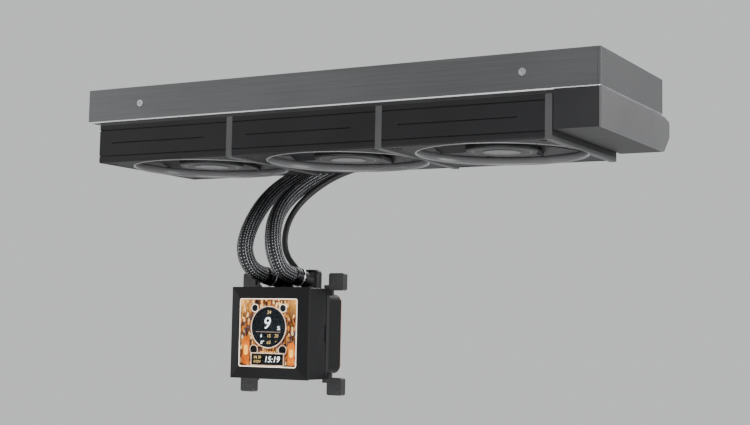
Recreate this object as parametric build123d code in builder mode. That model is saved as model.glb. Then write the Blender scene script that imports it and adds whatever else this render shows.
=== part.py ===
from build123d import *
from math import cos, pi, radians, sin, tan
import os

# A sealed liquid cooler for a computer: a radiator with three fans under it, two sleeved
# hoses with a cable beside them, and a pump block with a square screen.
# Millimetres. X runs along the radiator, Y points away from the screen's viewer, Z is up.
# The origin is at the middle of the radiator's top face, where it bolts to a computer case.

# ---- driving dimensions: radiator ----
fan_size = 120.0
fan_count = 3
hole_spacing = 105.0
radiator_width = 120.0
radiator_depth = 27.0
core_left = -180.0
core_right = 180.5
sheet = 1.2
flange_width = 11.5
case_hole_r = 1.75
fan_hole_r = 2.15
tube_count = 12
tube_thickness = 2.0
tube_wall = 0.4
core_top = -3.5
core_bottom = -23.5
header_thickness = 1.5
tank_top = -1.2
tank_bottom = -24.8
tank_wall = 1.2
tank_rounding = 2.0
left_tank_length = 8.5
right_tank_end = 209.0
port_x = 196.0
upper_port_z = -14.0
lower_port_y = 34.0
lower_port_z = -34.5

# ---- driving dimensions: covers and end housing ----
cover_left = -190.2
cover_right = 211.8
cover_front = -61.7
cover_back = -60.0
cover_height = 24.8
cover_seam = 209.4
cover_seam_gap = 0.2
cover_return = 10.0
wrap_thickness = 1.5
wrap_back = 63.0
cover_bevel = 0.8
cover_screw_x = (-142.2, 160.2)
cover_screw_z = -12.3
cover_screw_r = 1.5
cover_screw_head_r = 2.5
cover_socket_r = 1.1
socket_depth = 1.0
housing_left = 181.0
housing_wall = 1.5
cap_thickness = 2.0
cap_left = 210.5
cap_rounding = 2.5
cap_bevel = 0.4
cable_exit = (housing_left, 64.0, -44.5)
grommet_length = 5.0
grommet_r = 3.6
housing_outline = ((-61.5, -25.0), (65.5, -25.3), (77.3, -27.5), (77.3, -38.7), (65.3, -49.7), (-61.5, -49.7))

# ---- driving dimensions: fans ----
fan_top = -radiator_depth
fan_depth = 28.0
duct_r = 58.0
ring_r = 59.0
rail_start = 55.0
rail_proud = 1.0
screw_r = 2.0
head_r = 3.4
head_height = 2.4
head_recess = 0.4
head_clearance = 0.2
cross_slot_length = 3.6
cross_slot_width = 0.9
cross_slot_depth = 1.3
screw_grip = 2.0
groove = 0.8
upper_line_drop = 3.8
lower_line_rise = 4.8
short_line_length = 84.0
short_line_shift = -6.0
short_line_rise = 0.5
frame_rounding = 1.5
rail_rounding = 0.9
strut_width = 4.0
strut_overlap = 0.5
cup_r = 24.0
cup_thickness = 2.5
bearing_r = 4.0
bearing_tube_r = 5.5
bearing_bottom = -48.0
hub_r = 24.5
hub_top = -32.5
hub_bottom = -53.5
hub_inner_r = 20.5
hub_floor = 2.0
hub_rounding = 1.5
disc_r = 12.7
disc_thickness = 0.6
disc_bevel = 0.2
shaft_r = 1.5
shaft_end_gap = 1.0
running_gap = 0.05
blade_count = 9
blade_tip_r = 56.5
blade_mid_z = -42.0
# Radius, chord, thickness, pitch and sweep of each section of a blade.
blade_sections = ((23.3, 17.0, 2.4, 44.0, 0.0), (40.0, 26.0, 2.0, 33.0, 8.0), (58.0, 34.0, 1.6, 25.0, 20.0))
fan_stator_bottom = -46.0
fan_stator_height = 11.0
fan_stator_r = 9.0
pole_count = 4
pole_middle_r = 12.0
pole_length = 10.0
pole_width = 6.0
shoe_middle_r = 17.0
shoe_depth = 2.0
shoe_width = 16.0
shoe_bottom = -43.0
shoe_height = 5.0

# ---- driving dimensions: pump block ----
pump_x = -69.5
pump_z = -178.5
frame_side = 68.0
screen_side = 51.7
screen_y = 6.3
bezel_y = 8.5
shell_front_y = 10.5
seam_y = 33.7
shell_back_y = 38.3
bracket_back_y = 40.3
base_back_y = 62.0
cold_plate_y = 68.0
window_side = 50.7
window_rounding = 1.5
glass_y = 6.4
panel_y = 7.5
panel_thickness = 1.6
shell_side = 67.4
shell_wall = 2.0
shell_rounding = 1.2
shell_inner_rounding = 1.0
latch_length = 13.0
latch_width = 2.0
latch_depth = 0.8
seam_width = 0.7
board_y = 13.0
board_thickness = 1.6
board_gap = 0.3
# Middle x, middle z, width and height of each part on the board.
board_parts = ((-18.0, 14.0, 9.0, 9.0), (16.0, 18.0, 12.0, 5.0), (15.0, -19.0, 6.0, 8.0))
board_part_height = 1.4
stator_r = 22.0
stator_ring = 3.0
stator_front_y = 20.0
stator_length = 14.0
stator_poles = 6
stator_pole_width = 6.5
can_r = 10.5
can_wall = 1.4
can_front_y = 24.0
chamber_r = 17.0
chamber_front_y = 47.0
base_rounding = 6.0
plate_screw_pitch = 46.0
plate_screw_r = 1.6
plate_screw_grip = 5.0
plate_screw_head_r = 2.8
plate_screw_head = 1.6
plate_socket_r = 1.4
plate_flange = 2.6
plate_margin = 1.0
plate_rounding = 5.0
contact_side = 38.0
contact_rounding = 3.0
contact_bevel = 0.5
rotor_gap = 0.8
rotor_disc_y = 50.0
rotor_disc_r = 15.0
rotor_disc_thickness = 2.0
vane_count = 6
vane_middle_r = 9.5
vane_length = 10.0
vane_width = 1.6
vane_height = 6.0
vane_angle = 18.0
base_side = 60.0
ear_spacing = 78.0
ear_side = 13.0
ear_rounding = 1.6
ear_thickness = 4.0
ear_bevel = 0.9
ear_hole_r = 2.1
bracket_margin = 2.0
bridge_side = 8.0
elbow_middle_x = -72.0
elbow_offset = 12.6
elbow_y = 51.5
elbow_z = -139.1
elbow_top = -129.8
elbow_r = 7.2
elbow_foot_r = 5.4
elbow_bore_r = 3.5
elbow_rounding = 3.5
arm_angle = 74.0
arm_rise = 12.0
arm_r = 6.1

# ---- driving dimensions: hoses and cable ----
hose_d = 12.4
cable_d = 4.8
pipe_r = 4.5
pipe_bore_r = 3.3
pipe_bend_r = 7.0
ferrule_r = 6.8
ferrule_length = 8.0
ferrule_start = 13.6
ferrule_rim = 0.5
hose_y = 69.3
hose_start_x = 168.0
hose_lead = 9.0
corner_share = 0.45

base_top = pump_z + base_side / 2
fan_centres = [fan_size * (n - (fan_count - 1) / 2) for n in range(fan_count)]
fan_bottom = fan_top - fan_depth
core_half = radiator_width / 2 - sheet
half_spacing = hole_spacing / 2
shell_inner_side = shell_side - 2 * shell_wall
seam_side = shell_side - 2 * seam_width
board_side = shell_inner_side - 2 * board_gap

os.makedirs("parts", exist_ok=True)


def finish(piece, name):
    piece.part.label = name
    export_step(piece.part, f"parts/{name}.step")


# ---------------------------------------------------------------- radiator


def make_tubes():
    """Flat tubes side by side along Y, open at both ends, poking through the header plates."""
    pitch = 2 * core_half / (tube_count + 1)
    length = core_right - core_left + 2 * header_thickness
    depth = core_top - core_bottom
    with BuildPart() as radiator_tubes:
        with BuildSketch(Plane.YZ.offset(core_left - header_thickness)):
            with Locations((0, (core_top + core_bottom) / 2)):
                with GridLocations(pitch, 0, tube_count, 1):
                    Rectangle(tube_thickness, depth)
                    Rectangle(tube_thickness - 2 * tube_wall, depth - 2 * tube_wall, mode=Mode.SUBTRACT)
        extrude(amount=length)
    finish(radiator_tubes, "radiator_tubes")


def make_fins():
    """One block of folded fin stock between each pair of tubes and outside the end ones."""
    pitch = 2 * core_half / (tube_count + 1)
    with BuildPart() as radiator_fins:
        with BuildSketch(Plane.YZ.offset(core_left + header_thickness)):
            with Locations((0, (core_top + core_bottom) / 2)):
                with GridLocations(pitch, 0, tube_count + 1, 1):
                    Rectangle(pitch - tube_thickness, core_top - core_bottom)
        extrude(amount=core_right - core_left - 2 * header_thickness)
    finish(radiator_fins, "radiator_fins")


def make_header_plates():
    """The slotted plate at each end of the core, which the tubes are brazed into."""
    pitch = 2 * core_half / (tube_count + 1)
    with BuildPart() as header_plates:
        for x in (core_left, core_right - header_thickness):
            with BuildSketch(Plane.YZ.offset(x)):
                with Locations((0, (tank_top + tank_bottom) / 2)):
                    Rectangle(2 * core_half, tank_top - tank_bottom)
                with Locations((0, (core_top + core_bottom) / 2)):
                    with GridLocations(pitch, 0, tube_count, 1):
                        Rectangle(tube_thickness, core_top - core_bottom, mode=Mode.SUBTRACT)
            extrude(amount=header_thickness)
    finish(header_plates, "header_plates")


def make_left_tank():
    """The return tank, a shallow tray whose open side is closed by its header plate."""
    left = core_left - left_tank_length
    with BuildPart() as left_tank:
        with BuildSketch(Plane.YZ.offset(left)):
            with Locations((0, (tank_top + tank_bottom) / 2)):
                Rectangle(2 * core_half, tank_top - tank_bottom)
        extrude(amount=left_tank_length)
        fillet(left_tank.faces().sort_by(Axis.X)[0].edges(), radius=tank_rounding)
        with BuildSketch(Plane.YZ.offset(left + tank_wall)):
            with Locations((0, (tank_top + tank_bottom) / 2)):
                Rectangle(2 * (core_half - tank_wall), tank_top - tank_bottom - 2 * tank_wall)
        extrude(amount=left_tank_length - tank_wall, mode=Mode.SUBTRACT)
    finish(left_tank, "left_tank")


def make_right_tank():
    """The inlet and outlet tank, with a port in its back wall and one in its floor."""
    height = tank_top - tank_bottom
    with BuildPart() as right_tank:
        with BuildSketch(Plane.YZ.offset(core_right)):
            with Locations((0, (tank_top + tank_bottom) / 2)):
                Rectangle(2 * core_half, height)
        extrude(amount=right_tank_end - core_right)
        fillet(right_tank.faces().sort_by(Axis.X)[-1].edges(), radius=tank_rounding)
        with BuildSketch(Plane.YZ.offset(core_right)):
            with Locations((0, (tank_top + tank_bottom) / 2)):
                Rectangle(2 * (core_half - tank_wall), height - 2 * tank_wall)
        extrude(amount=right_tank_end - core_right - tank_wall, mode=Mode.SUBTRACT)
        with BuildSketch(Plane.XZ.offset(-core_half)):
            with Locations((port_x, upper_port_z)):
                Circle(pipe_r)
        extrude(amount=tank_wall, mode=Mode.SUBTRACT)
        with BuildSketch(Plane.XY.offset(tank_bottom)):
            with Locations((port_x, lower_port_y)):
                Circle(pipe_r)
        extrude(amount=tank_wall, mode=Mode.SUBTRACT)
    finish(right_tank, "right_tank")


def make_baffle():
    """The wall that splits the right tank into an inlet half and an outlet half."""
    with BuildPart() as tank_baffle:
        with BuildSketch(Plane.XZ.offset(-sheet / 2)):
            with Locations(((core_right + header_thickness + right_tank_end - tank_wall) / 2,
                            (tank_top + tank_bottom) / 2)):
                Rectangle(right_tank_end - core_right - tank_wall - header_thickness,
                          tank_top - tank_bottom - 2 * tank_wall)
        extrude(amount=sheet)
    finish(tank_baffle, "tank_baffle")


def make_side_rail(side, name):
    """A folded channel along the core: case screws enter its top flange, fan screws its bottom one."""
    middle = -radiator_depth / 2
    holes = [(x + dx, side * half_spacing) for x in fan_centres for dx in (-half_spacing, half_spacing)]
    with BuildPart() as rail:
        with BuildSketch(Plane.YZ.offset(core_left)):
            with Locations((side * (radiator_width / 2 - flange_width / 2), middle)):
                Rectangle(flange_width, radiator_depth)
            with Locations((side * (core_half - flange_width / 2), middle)):
                Rectangle(flange_width, radiator_depth - 2 * sheet, mode=Mode.SUBTRACT)
        extrude(amount=core_right - core_left)
        with BuildSketch(Plane.XY.offset(-sheet)):
            with Locations(*holes):
                Circle(case_hole_r)
        extrude(amount=sheet, mode=Mode.SUBTRACT)
        with BuildSketch(Plane.XY.offset(-radiator_depth)):
            with Locations(*holes):
                Circle(fan_hole_r)
        extrude(amount=sheet, mode=Mode.SUBTRACT)
        if side < 0:
            with BuildSketch(Plane.XZ.offset(core_half)):
                with Locations(*[(x, cover_screw_z) for x in cover_screw_x]):
                    Circle(cover_screw_r)
            extrude(amount=sheet, mode=Mode.SUBTRACT)
    finish(rail, name)


# ---------------------------------------------------------------- covers


def make_front_cover():
    """The long cover plate, folded round the left end, with its lower edge bevelled."""
    with BuildPart() as front_cover:
        with BuildSketch(Plane.XY.offset(-cover_height)):
            with BuildLine():
                Polyline((cover_left, cover_front), (cover_seam, cover_front), (cover_seam, cover_back),
                         (cover_left + wrap_thickness, cover_back),
                         (cover_left + wrap_thickness, cover_back + cover_return),
                         (cover_left, cover_back + cover_return), close=True)
            make_face()
        extrude(amount=cover_height)
        lower = front_cover.faces().sort_by(Axis.Y)[0].edges().sort_by(Axis.Z)[0]
        chamfer(lower, length=cover_bevel)
        with Locations(Plane.XZ.offset(-cover_front)):
            with Locations(*[(x, cover_screw_z) for x in cover_screw_x]):
                CounterSinkHole(cover_screw_r, cover_screw_head_r, depth=cover_back - cover_front)
    finish(front_cover, "front_cover")


def make_end_cover():
    """The cover's right end, which turns the corner and runs back along the radiator's side."""
    start = cover_seam + cover_seam_gap
    with BuildPart() as end_cover:
        with BuildSketch(Plane.XY.offset(-cover_height)):
            with BuildLine():
                Polyline((start, cover_front), (cover_right, cover_front), (cover_right, wrap_back),
                         (cover_right - wrap_thickness, wrap_back), (cover_right - wrap_thickness, cover_back),
                         (start, cover_back), close=True)
            make_face()
        extrude(amount=cover_height)
        outer = end_cover.faces().sort_by(Axis.X)[-1].edges().sort_by(Axis.Z)[0]
        front = end_cover.faces().sort_by(Axis.Y)[0].edges().sort_by(Axis.Z)[0]
        chamfer((outer, front), length=cover_bevel)
    finish(end_cover, "end_cover")


def make_cover_screws():
    """Two small countersunk screws through the cover into the front rail."""
    cone = cover_screw_head_r - cover_screw_r
    with BuildPart() as cover_screws:
        for x in cover_screw_x:
            with BuildSketch(Plane.XY.offset(cover_screw_z)):
                with BuildLine():
                    Polyline((x, cover_front), (x + cover_screw_head_r, cover_front),
                             (x + cover_screw_r, cover_front + cone), (x + cover_screw_r, -core_half),
                             (x, -core_half), close=True)
                make_face()
            revolve(axis=Axis((x, 0, cover_screw_z), (0, 1, 0)))
            with BuildSketch(Plane.XZ.offset(-cover_front)):
                with Locations((x, cover_screw_z)):
                    RegularPolygon(radius=cover_socket_r, side_count=6)
            extrude(amount=-socket_depth, mode=Mode.SUBTRACT)
    finish(cover_screws, "cover_screws")


def make_end_housing():
    """The box under the right tank that hides the plumbing. Its right side is open."""
    with BuildPart() as end_housing:
        with BuildSketch(Plane.YZ.offset(housing_left)):
            with BuildLine():
                Polyline(*housing_outline, close=True)
            make_face()
        extrude(amount=cap_left - housing_left)
        with BuildSketch(Plane.YZ.offset(housing_left + housing_wall)):
            with BuildLine():
                Polyline(*housing_outline, close=True)
            make_face()
            offset(amount=-housing_wall, kind=Kind.INTERSECTION, mode=Mode.REPLACE)
        extrude(amount=cap_left - housing_left - housing_wall, mode=Mode.SUBTRACT)
        with BuildSketch(Plane.YZ.offset(housing_left)):
            with Locations((hose_y, lower_port_z)):
                Circle(pipe_r)
            with Locations(cable_exit[1:]):
                Circle(cable_d / 2)
        extrude(amount=housing_wall, mode=Mode.SUBTRACT)
        with BuildSketch(Plane.XY.offset(housing_outline[0][1] - 2 * housing_wall)):
            with Locations((port_x, lower_port_y)):
                Circle(pipe_r)
        extrude(amount=3 * housing_wall, mode=Mode.SUBTRACT)
    finish(end_housing, "end_housing")


def make_end_cap():
    """The light plate that closes the end housing."""
    with BuildPart() as end_cap:
        with BuildSketch(Plane.YZ.offset(cap_left)):
            with BuildLine():
                Polyline(*housing_outline, close=True)
            make_face()
        extrude(amount=cap_thickness)
        back_corners = end_cap.edges().filter_by(Axis.X).sort_by(Axis.Y)[-4:]
        fillet(back_corners, radius=cap_rounding)
        chamfer(end_cap.faces().sort_by(Axis.X)[-1].edges(), length=cap_bevel)
    finish(end_cap, "end_cap")


# ---------------------------------------------------------------- plumbing and hoses

def make_pipe(points, bend_r, name):
    """A bent metal pipe from a tank port to the hose, bored through."""
    start = Vector(*points[0])
    first = Vector(*points[1]) - start
    with BuildPart() as pipe:
        with BuildLine() as route:
            FilletPolyline(*points, radius=bend_r)
        with BuildSketch(Plane(origin=start, z_dir=first)):
            Circle(pipe_r)
            Circle(pipe_bore_r, mode=Mode.SUBTRACT)
        sweep(path=route.wires()[0])
    finish(pipe, name)


def make_tank_ferrules():
    """The crimped collars round the pipes where the hoses meet them."""
    with BuildPart() as tank_ferrules:
        with BuildSketch(Plane.YZ.offset(hose_start_x)):
            with Locations((hose_y, upper_port_z), (hose_y, lower_port_z)):
                Circle(ferrule_r)
                Circle(pipe_r, mode=Mode.SUBTRACT)
        extrude(amount=ferrule_length)
    finish(tank_ferrules, "tank_ferrules")


arm_x = -cos(radians(arm_angle)) * cos(radians(arm_rise))
arm_y = -sin(radians(arm_angle)) * cos(radians(arm_rise))
arm_z = sin(radians(arm_rise))
left_elbow_x = elbow_middle_x - elbow_offset
right_elbow_x = elbow_middle_x + elbow_offset
hose_reach = ferrule_start + ferrule_length


def arm_point(axis_x, reach):
    """The point that lies reach along an elbow's arm from the elbow's upright axis."""
    return (axis_x + reach * arm_x, elbow_y + reach * arm_y, elbow_z + reach * arm_z)


hose_upper_route = [
    (hose_start_x, hose_y, upper_port_z), (128.0, hose_y, upper_port_z), (78.0, 71.2, -15.2),
    (26.0, 73.4, -19.4), (-22.0, 74.6, -27.8), (-60.0, 74.4, -38.8), (-86.0, 71.6, -53.0),
    (-98.4, 59.0, -65.6), (-100.4, 44.6, -77.0), (-98.4, 29.6, -88.8), (-96.8, 17.4, -101.6),
    (-96.4, 11.8, -115.0), (-94.6, 14.4, -126.0),
    arm_point(left_elbow_x, hose_reach + hose_lead), arm_point(left_elbow_x, hose_reach),
]
hose_lower_route = [
    (hose_start_x, hose_y, lower_port_z), (122.0, hose_y, lower_port_z), (70.0, 69.0, -35.4),
    (24.0, 69.2, -37.6), (-14.0, 69.0, -41.0), (-46.0, 68.8, -46.8), (-71.5, 66.8, -58.2),
    (-81.0, 55.6, -69.6), (-81.6, 41.6, -79.8), (-78.8, 28.4, -90.0), (-74.4, 17.4, -101.8),
    (-70.4, 11.8, -114.8), (-68.2, 14.4, -126.0),
    arm_point(right_elbow_x, hose_reach + hose_lead), arm_point(right_elbow_x, hose_reach),
]
cable_end = (pump_x, 56.2, -144.5)
cable_route = [
    (cable_exit[0] - grommet_length, cable_exit[1], cable_exit[2]), (136.0, cable_exit[1], cable_exit[2]),
    (92.0, 63.6, -45.0), (48.0, 63.2, -46.0), (8.0, 63.0, -47.2), (-22.0, 62.9, -49.8), (-46.0, 63.0, -56.2),
    (-66.0, 62.8, -66.6), (-79.6, 60.0, -79.0), (-86.8, 57.2, -92.4), (-88.8, 55.6, -106.6),
    (-86.2, 56.0, -118.6), (-77.4, 57.2, -128.8), (cable_end[0], cable_end[1], -136.4), cable_end,
]


def route_radii(points):
    """The largest tangent arc that each corner of a route has room for."""
    radii = []
    for before, here, after in zip(points, points[1:], points[2:]):
        run_in = Vector(*here) - Vector(*before)
        run_out = Vector(*after) - Vector(*here)
        half_turn = radians(run_in.get_angle(run_out)) / 2
        radii.append(corner_share * min(run_in.length, run_out.length) / tan(half_turn))
    return radii


def make_cord(points, diameter, name):
    """A round cord along straight runs joined by tangent arcs."""
    radii = route_radii(points)
    start = Vector(*points[0])
    with BuildPart() as cord:
        with BuildLine() as route:
            FilletPolyline(*points, radius=radii)
        with BuildSketch(Plane(origin=start, z_dir=Vector(*points[1]) - start)):
            Circle(diameter / 2)
        sweep(path=route.wires()[0])
    length = route.wires()[0].length
    expected = pi * (diameter / 2) ** 2 * length
    print(name, "length", round(length, 1), "volume ratio", round(cord.part.volume / expected, 4))
    print("  radii in diameters:", [round(r / diameter, 1) for r in radii])
    finish(cord, name)


def make_cable_grommets():
    """Soft sleeves where the cable leaves the housing and where it enters the pump base."""
    with BuildPart() as cable_grommets:
        with BuildSketch(Plane.YZ.offset(cable_exit[0] - grommet_length)):
            with Locations(cable_exit[1:]):
                Circle(grommet_r)
        extrude(amount=grommet_length)
        with BuildSketch(Plane.XY.offset(base_top)):
            with Locations(cable_route[-1][:2]):
                Circle(grommet_r)
        extrude(amount=cable_route[-1][2] - base_top)
    finish(cable_grommets, "cable_grommets")


def make_elbow(axis_x, name):
    """A swivel elbow that stands on the pump base, with an arm that points along the hose."""
    arm_plane = Plane(origin=(axis_x, elbow_y, elbow_z), z_dir=(arm_x, arm_y, arm_z))
    with BuildPart() as elbow:
        with BuildSketch(Plane.XY.offset(elbow_z - elbow_r)):
            with Locations((axis_x, elbow_y)):
                Circle(elbow_r)
        extrude(amount=elbow_top - elbow_z + elbow_r)
        fillet(elbow.faces().sort_by(Axis.Z)[-1].edges(), radius=elbow_rounding)
        with BuildSketch(Plane.XY.offset(base_top)):
            with Locations((axis_x, elbow_y)):
                Circle(elbow_foot_r)
        extrude(amount=elbow_z - base_top)
        with BuildSketch(arm_plane):
            Circle(arm_r)
        extrude(amount=ferrule_start)
        with BuildSketch(Plane.XY.offset(base_top)):
            with Locations((axis_x, elbow_y)):
                Circle(elbow_bore_r)
        extrude(amount=elbow_z - base_top, mode=Mode.SUBTRACT)
        with BuildSketch(arm_plane):
            Circle(elbow_bore_r)
        extrude(amount=ferrule_start, mode=Mode.SUBTRACT)
    finish(elbow, name)


def make_pump_ferrules():
    """The crimped collars between the hoses and the elbows, each with a raised end rim."""
    with BuildPart() as pump_ferrules:
        for axis_x in (left_elbow_x, right_elbow_x):
            with BuildSketch(Plane(origin=arm_point(axis_x, ferrule_start), z_dir=(arm_x, arm_y, arm_z))):
                Circle(ferrule_r)
                Circle(elbow_bore_r, mode=Mode.SUBTRACT)
            extrude(amount=ferrule_length)
            with BuildSketch(Plane(origin=arm_point(axis_x, ferrule_start), z_dir=(arm_x, arm_y, arm_z))):
                Circle(ferrule_r + ferrule_rim)
                Circle(elbow_bore_r, mode=Mode.SUBTRACT)
            extrude(amount=2 * ferrule_rim)
    finish(pump_ferrules, "pump_ferrules")


# ---------------------------------------------------------------- fans


def wall_lines(x):
    """The pressed lines along a fan's front and back walls, as centre, length and height."""
    wall = rail_start + fan_size / 2
    wall_middle = x - fan_size / 2 + wall / 2
    short_line_z = (fan_top + fan_bottom) / 2 + short_line_rise
    return (
        (wall_middle, fan_top - upper_line_drop, wall, groove),
        (wall_middle, fan_bottom + lower_line_rise, wall, groove),
        (x + short_line_shift, short_line_z, short_line_length, groove),
    )


def make_fan_frame(x, name):
    """The fan's housing: duct, mounting corners, struts and the motor cup on the radiator's side."""
    corners = [(x + dx, dy) for dx in (-half_spacing, half_spacing) for dy in (-half_spacing, half_spacing)]
    with BuildPart() as frame:
        with BuildSketch(Plane.XY.offset(fan_bottom)):
            with Locations((x - (fan_size / 2 - rail_start) / 2, 0)):
                Rectangle(fan_size / 2 + rail_start, fan_size)
            with Locations((x, 0)):
                Circle(ring_r)
        extrude(amount=fan_depth)
        long_edges = frame.faces().sort_by(Axis.Z)[0].edges().filter_by(Axis.X)
        fillet(long_edges, radius=frame_rounding)
        with BuildSketch(Plane.XY.offset(fan_bottom)):
            with Locations((x, 0)):
                Circle(duct_r)
            with Locations(*corners):
                Circle(fan_hole_r)
        extrude(amount=fan_depth, mode=Mode.SUBTRACT)
        with BuildSketch(Plane.XY.offset(fan_bottom)):
            with Locations(*corners):
                Circle(head_r + head_clearance)
        extrude(amount=head_height + head_recess, mode=Mode.SUBTRACT)
        for wall_y, depth in ((fan_size / 2, -groove), (-fan_size / 2, groove)):
            with BuildSketch(Plane.XZ.offset(-wall_y)):
                for centre_x, centre_z, length, height in wall_lines(x):
                    with Locations((centre_x, centre_z)):
                        Rectangle(length, height)
            extrude(amount=-depth, mode=Mode.SUBTRACT)
        with BuildSketch(Plane.XY.offset(fan_top - cup_thickness)):
            with Locations((x, 0)):
                Circle(cup_r)
                with PolarLocations(0, 4, start_angle=45):
                    with Locations((duct_r / 2, 0)):
                        Rectangle(duct_r + strut_overlap, strut_width)
        extrude(amount=cup_thickness)
        with BuildSketch(Plane.XY.offset(bearing_bottom)):
            with Locations((x, 0)):
                Circle(bearing_tube_r)
        extrude(amount=fan_top - bearing_bottom)
        with BuildSketch(Plane.XY.offset(bearing_bottom)):
            with Locations((x, 0)):
                Circle(bearing_r)
        extrude(amount=fan_top - cup_thickness - bearing_bottom, mode=Mode.SUBTRACT)
    finish(frame, name)


def make_fan_rail(x, name):
    """The light strip that closes the fan's right side and links it to the next fan."""
    strip = fan_size / 2 - rail_start
    with BuildPart() as rail:
        with BuildSketch(Plane.XY.offset(fan_bottom - rail_proud)):
            with Locations((x + rail_start + strip / 2, 0)):
                Rectangle(strip, fan_size)
        extrude(amount=fan_depth + rail_proud)
        lower = rail.faces().sort_by(Axis.Z)[0].edges()
        fillet(lower, radius=rail_rounding)
        with BuildSketch(Plane.XY.offset(fan_bottom - rail_proud)):
            with Locations((x, 0)):
                Circle(ring_r)
            with Locations((x + half_spacing, half_spacing), (x + half_spacing, -half_spacing)):
                Circle(head_r + head_clearance)
        extrude(amount=rail_proud + head_height + head_recess, mode=Mode.SUBTRACT)
        with BuildSketch(Plane.XY.offset(fan_bottom)):
            with Locations((x, 0)):
                Circle(ring_r)
        extrude(amount=fan_depth, mode=Mode.SUBTRACT)
    finish(rail, name)


def make_fan_impeller(x, name):
    """The hub cup and its nine swept blades."""
    with BuildPart() as blade:
        for r, chord, thickness, pitch, sweep_angle in blade_sections:
            a = radians(sweep_angle)
            outward = (cos(a), sin(a), 0)
            with BuildSketch(Plane(origin=(r * cos(a), r * sin(a), blade_mid_z), x_dir=(-sin(a), cos(a), 0),
                                   z_dir=outward)):
                Rectangle(chord, thickness, rotation=pitch)
        loft()
        with BuildSketch(Plane.XY.offset(blade_mid_z - fan_depth)):
            Circle(blade_tip_r)
            Circle(hub_r - 1.0, mode=Mode.SUBTRACT)
        extrude(amount=2 * fan_depth, mode=Mode.INTERSECT)
    with BuildPart() as impeller:
        with BuildSketch(Plane.XY.offset(hub_bottom)):
            with Locations((x, 0)):
                Circle(hub_r)
        extrude(amount=hub_top - hub_bottom)
        fillet(impeller.faces().sort_by(Axis.Z)[0].edges(), radius=hub_rounding)
        with BuildSketch(Plane.XY.offset(hub_bottom + hub_floor)):
            with Locations((x, 0)):
                Circle(hub_inner_r)
                Circle(bearing_r - 0.4, mode=Mode.SUBTRACT)
        extrude(amount=hub_top - hub_bottom, mode=Mode.SUBTRACT)
        with BuildSketch(Plane.XY.offset(bearing_bottom - 1.0)):
            with Locations((x, 0)):
                Circle(bearing_r)
        extrude(amount=hub_top - bearing_bottom + 2.0, mode=Mode.SUBTRACT)
        with BuildSketch(Plane.XY.offset(hub_bottom + hub_floor)):
            with Locations((x, 0)):
                Circle(shaft_r)
        extrude(amount=hub_top - hub_bottom, mode=Mode.SUBTRACT)
        with Locations((x, 0, 0)):
            with PolarLocations(0, blade_count):
                add(blade.part)
    finish(impeller, name)


def make_hub_disc(x, name):
    """The thin metal disc on the hub's face."""
    with BuildPart() as disc:
        with BuildSketch(Plane.XY.offset(hub_bottom - disc_thickness)):
            with Locations((x, 0)):
                Circle(disc_r)
        extrude(amount=disc_thickness)
        chamfer(disc.faces().sort_by(Axis.Z)[0].edges(), length=disc_bevel)
    finish(disc, name)


def make_fan_shaft(x, name):
    """The steel shaft that turns in the bearing."""
    with BuildPart() as shaft:
        with BuildSketch(Plane.XY.offset(hub_bottom + hub_floor)):
            with Locations((x, 0)):
                Circle(shaft_r)
        extrude(amount=fan_top - cup_thickness - shaft_end_gap - hub_bottom - hub_floor)
    finish(shaft, name)


def make_fan_bearing(x, name):
    """The sleeve bearing pressed into the motor cup's tube."""
    with BuildPart() as bearing:
        with BuildSketch(Plane.XY.offset(bearing_bottom)):
            with Locations((x, 0)):
                Circle(bearing_r)
                Circle(shaft_r + running_gap, mode=Mode.SUBTRACT)
        extrude(amount=fan_top - cup_thickness - bearing_bottom)
    finish(bearing, name)


def make_fan_stator(x, name):
    """The four-pole wound stator round the bearing tube."""
    with BuildPart() as stator:
        with BuildSketch(Plane.XY.offset(fan_stator_bottom)):
            with Locations((x, 0)):
                Circle(fan_stator_r)
                with PolarLocations(0, pole_count):
                    with Locations((pole_middle_r, 0)):
                        Rectangle(pole_length, pole_width)
                Circle(bearing_tube_r, mode=Mode.SUBTRACT)
        extrude(amount=fan_stator_height)
        with BuildSketch(Plane.XY.offset(shoe_bottom)):
            with Locations((x, 0)):
                with PolarLocations(0, pole_count):
                    with Locations((shoe_middle_r, 0)):
                        Rectangle(shoe_depth, shoe_width)
        extrude(amount=shoe_height)
    finish(stator, name)


def make_fan_screws():
    """Twelve long screws that hold the fans to the radiator's bottom flanges."""
    spots = [(x + dx, dy) for x in fan_centres for dx in (-half_spacing, half_spacing)
             for dy in (-half_spacing, half_spacing)]
    with BuildPart() as fan_screws:
        with BuildSketch(Plane.XY.offset(fan_bottom + head_recess)):
            with Locations(*spots):
                Circle(head_r)
        extrude(amount=head_height)
        with BuildSketch(Plane.XY.offset(fan_bottom + head_height)):
            with Locations(*spots):
                Circle(screw_r)
        extrude(amount=fan_depth - head_height + screw_grip)
        with BuildSketch(Plane.XY.offset(fan_bottom + head_recess)):
            with Locations(*spots):
                Rectangle(cross_slot_length, cross_slot_width)
                Rectangle(cross_slot_width, cross_slot_length)
        extrude(amount=cross_slot_depth, mode=Mode.SUBTRACT)
    finish(fan_screws, "fan_screws")


# ---------------------------------------------------------------- pump block


def facing(y):
    """A sketch plane at depth y, centred on the pump, whose normal points back along +Y."""
    return Plane(origin=(pump_x, y, pump_z), x_dir=(1, 0, 0), z_dir=(0, 1, 0))


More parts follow.
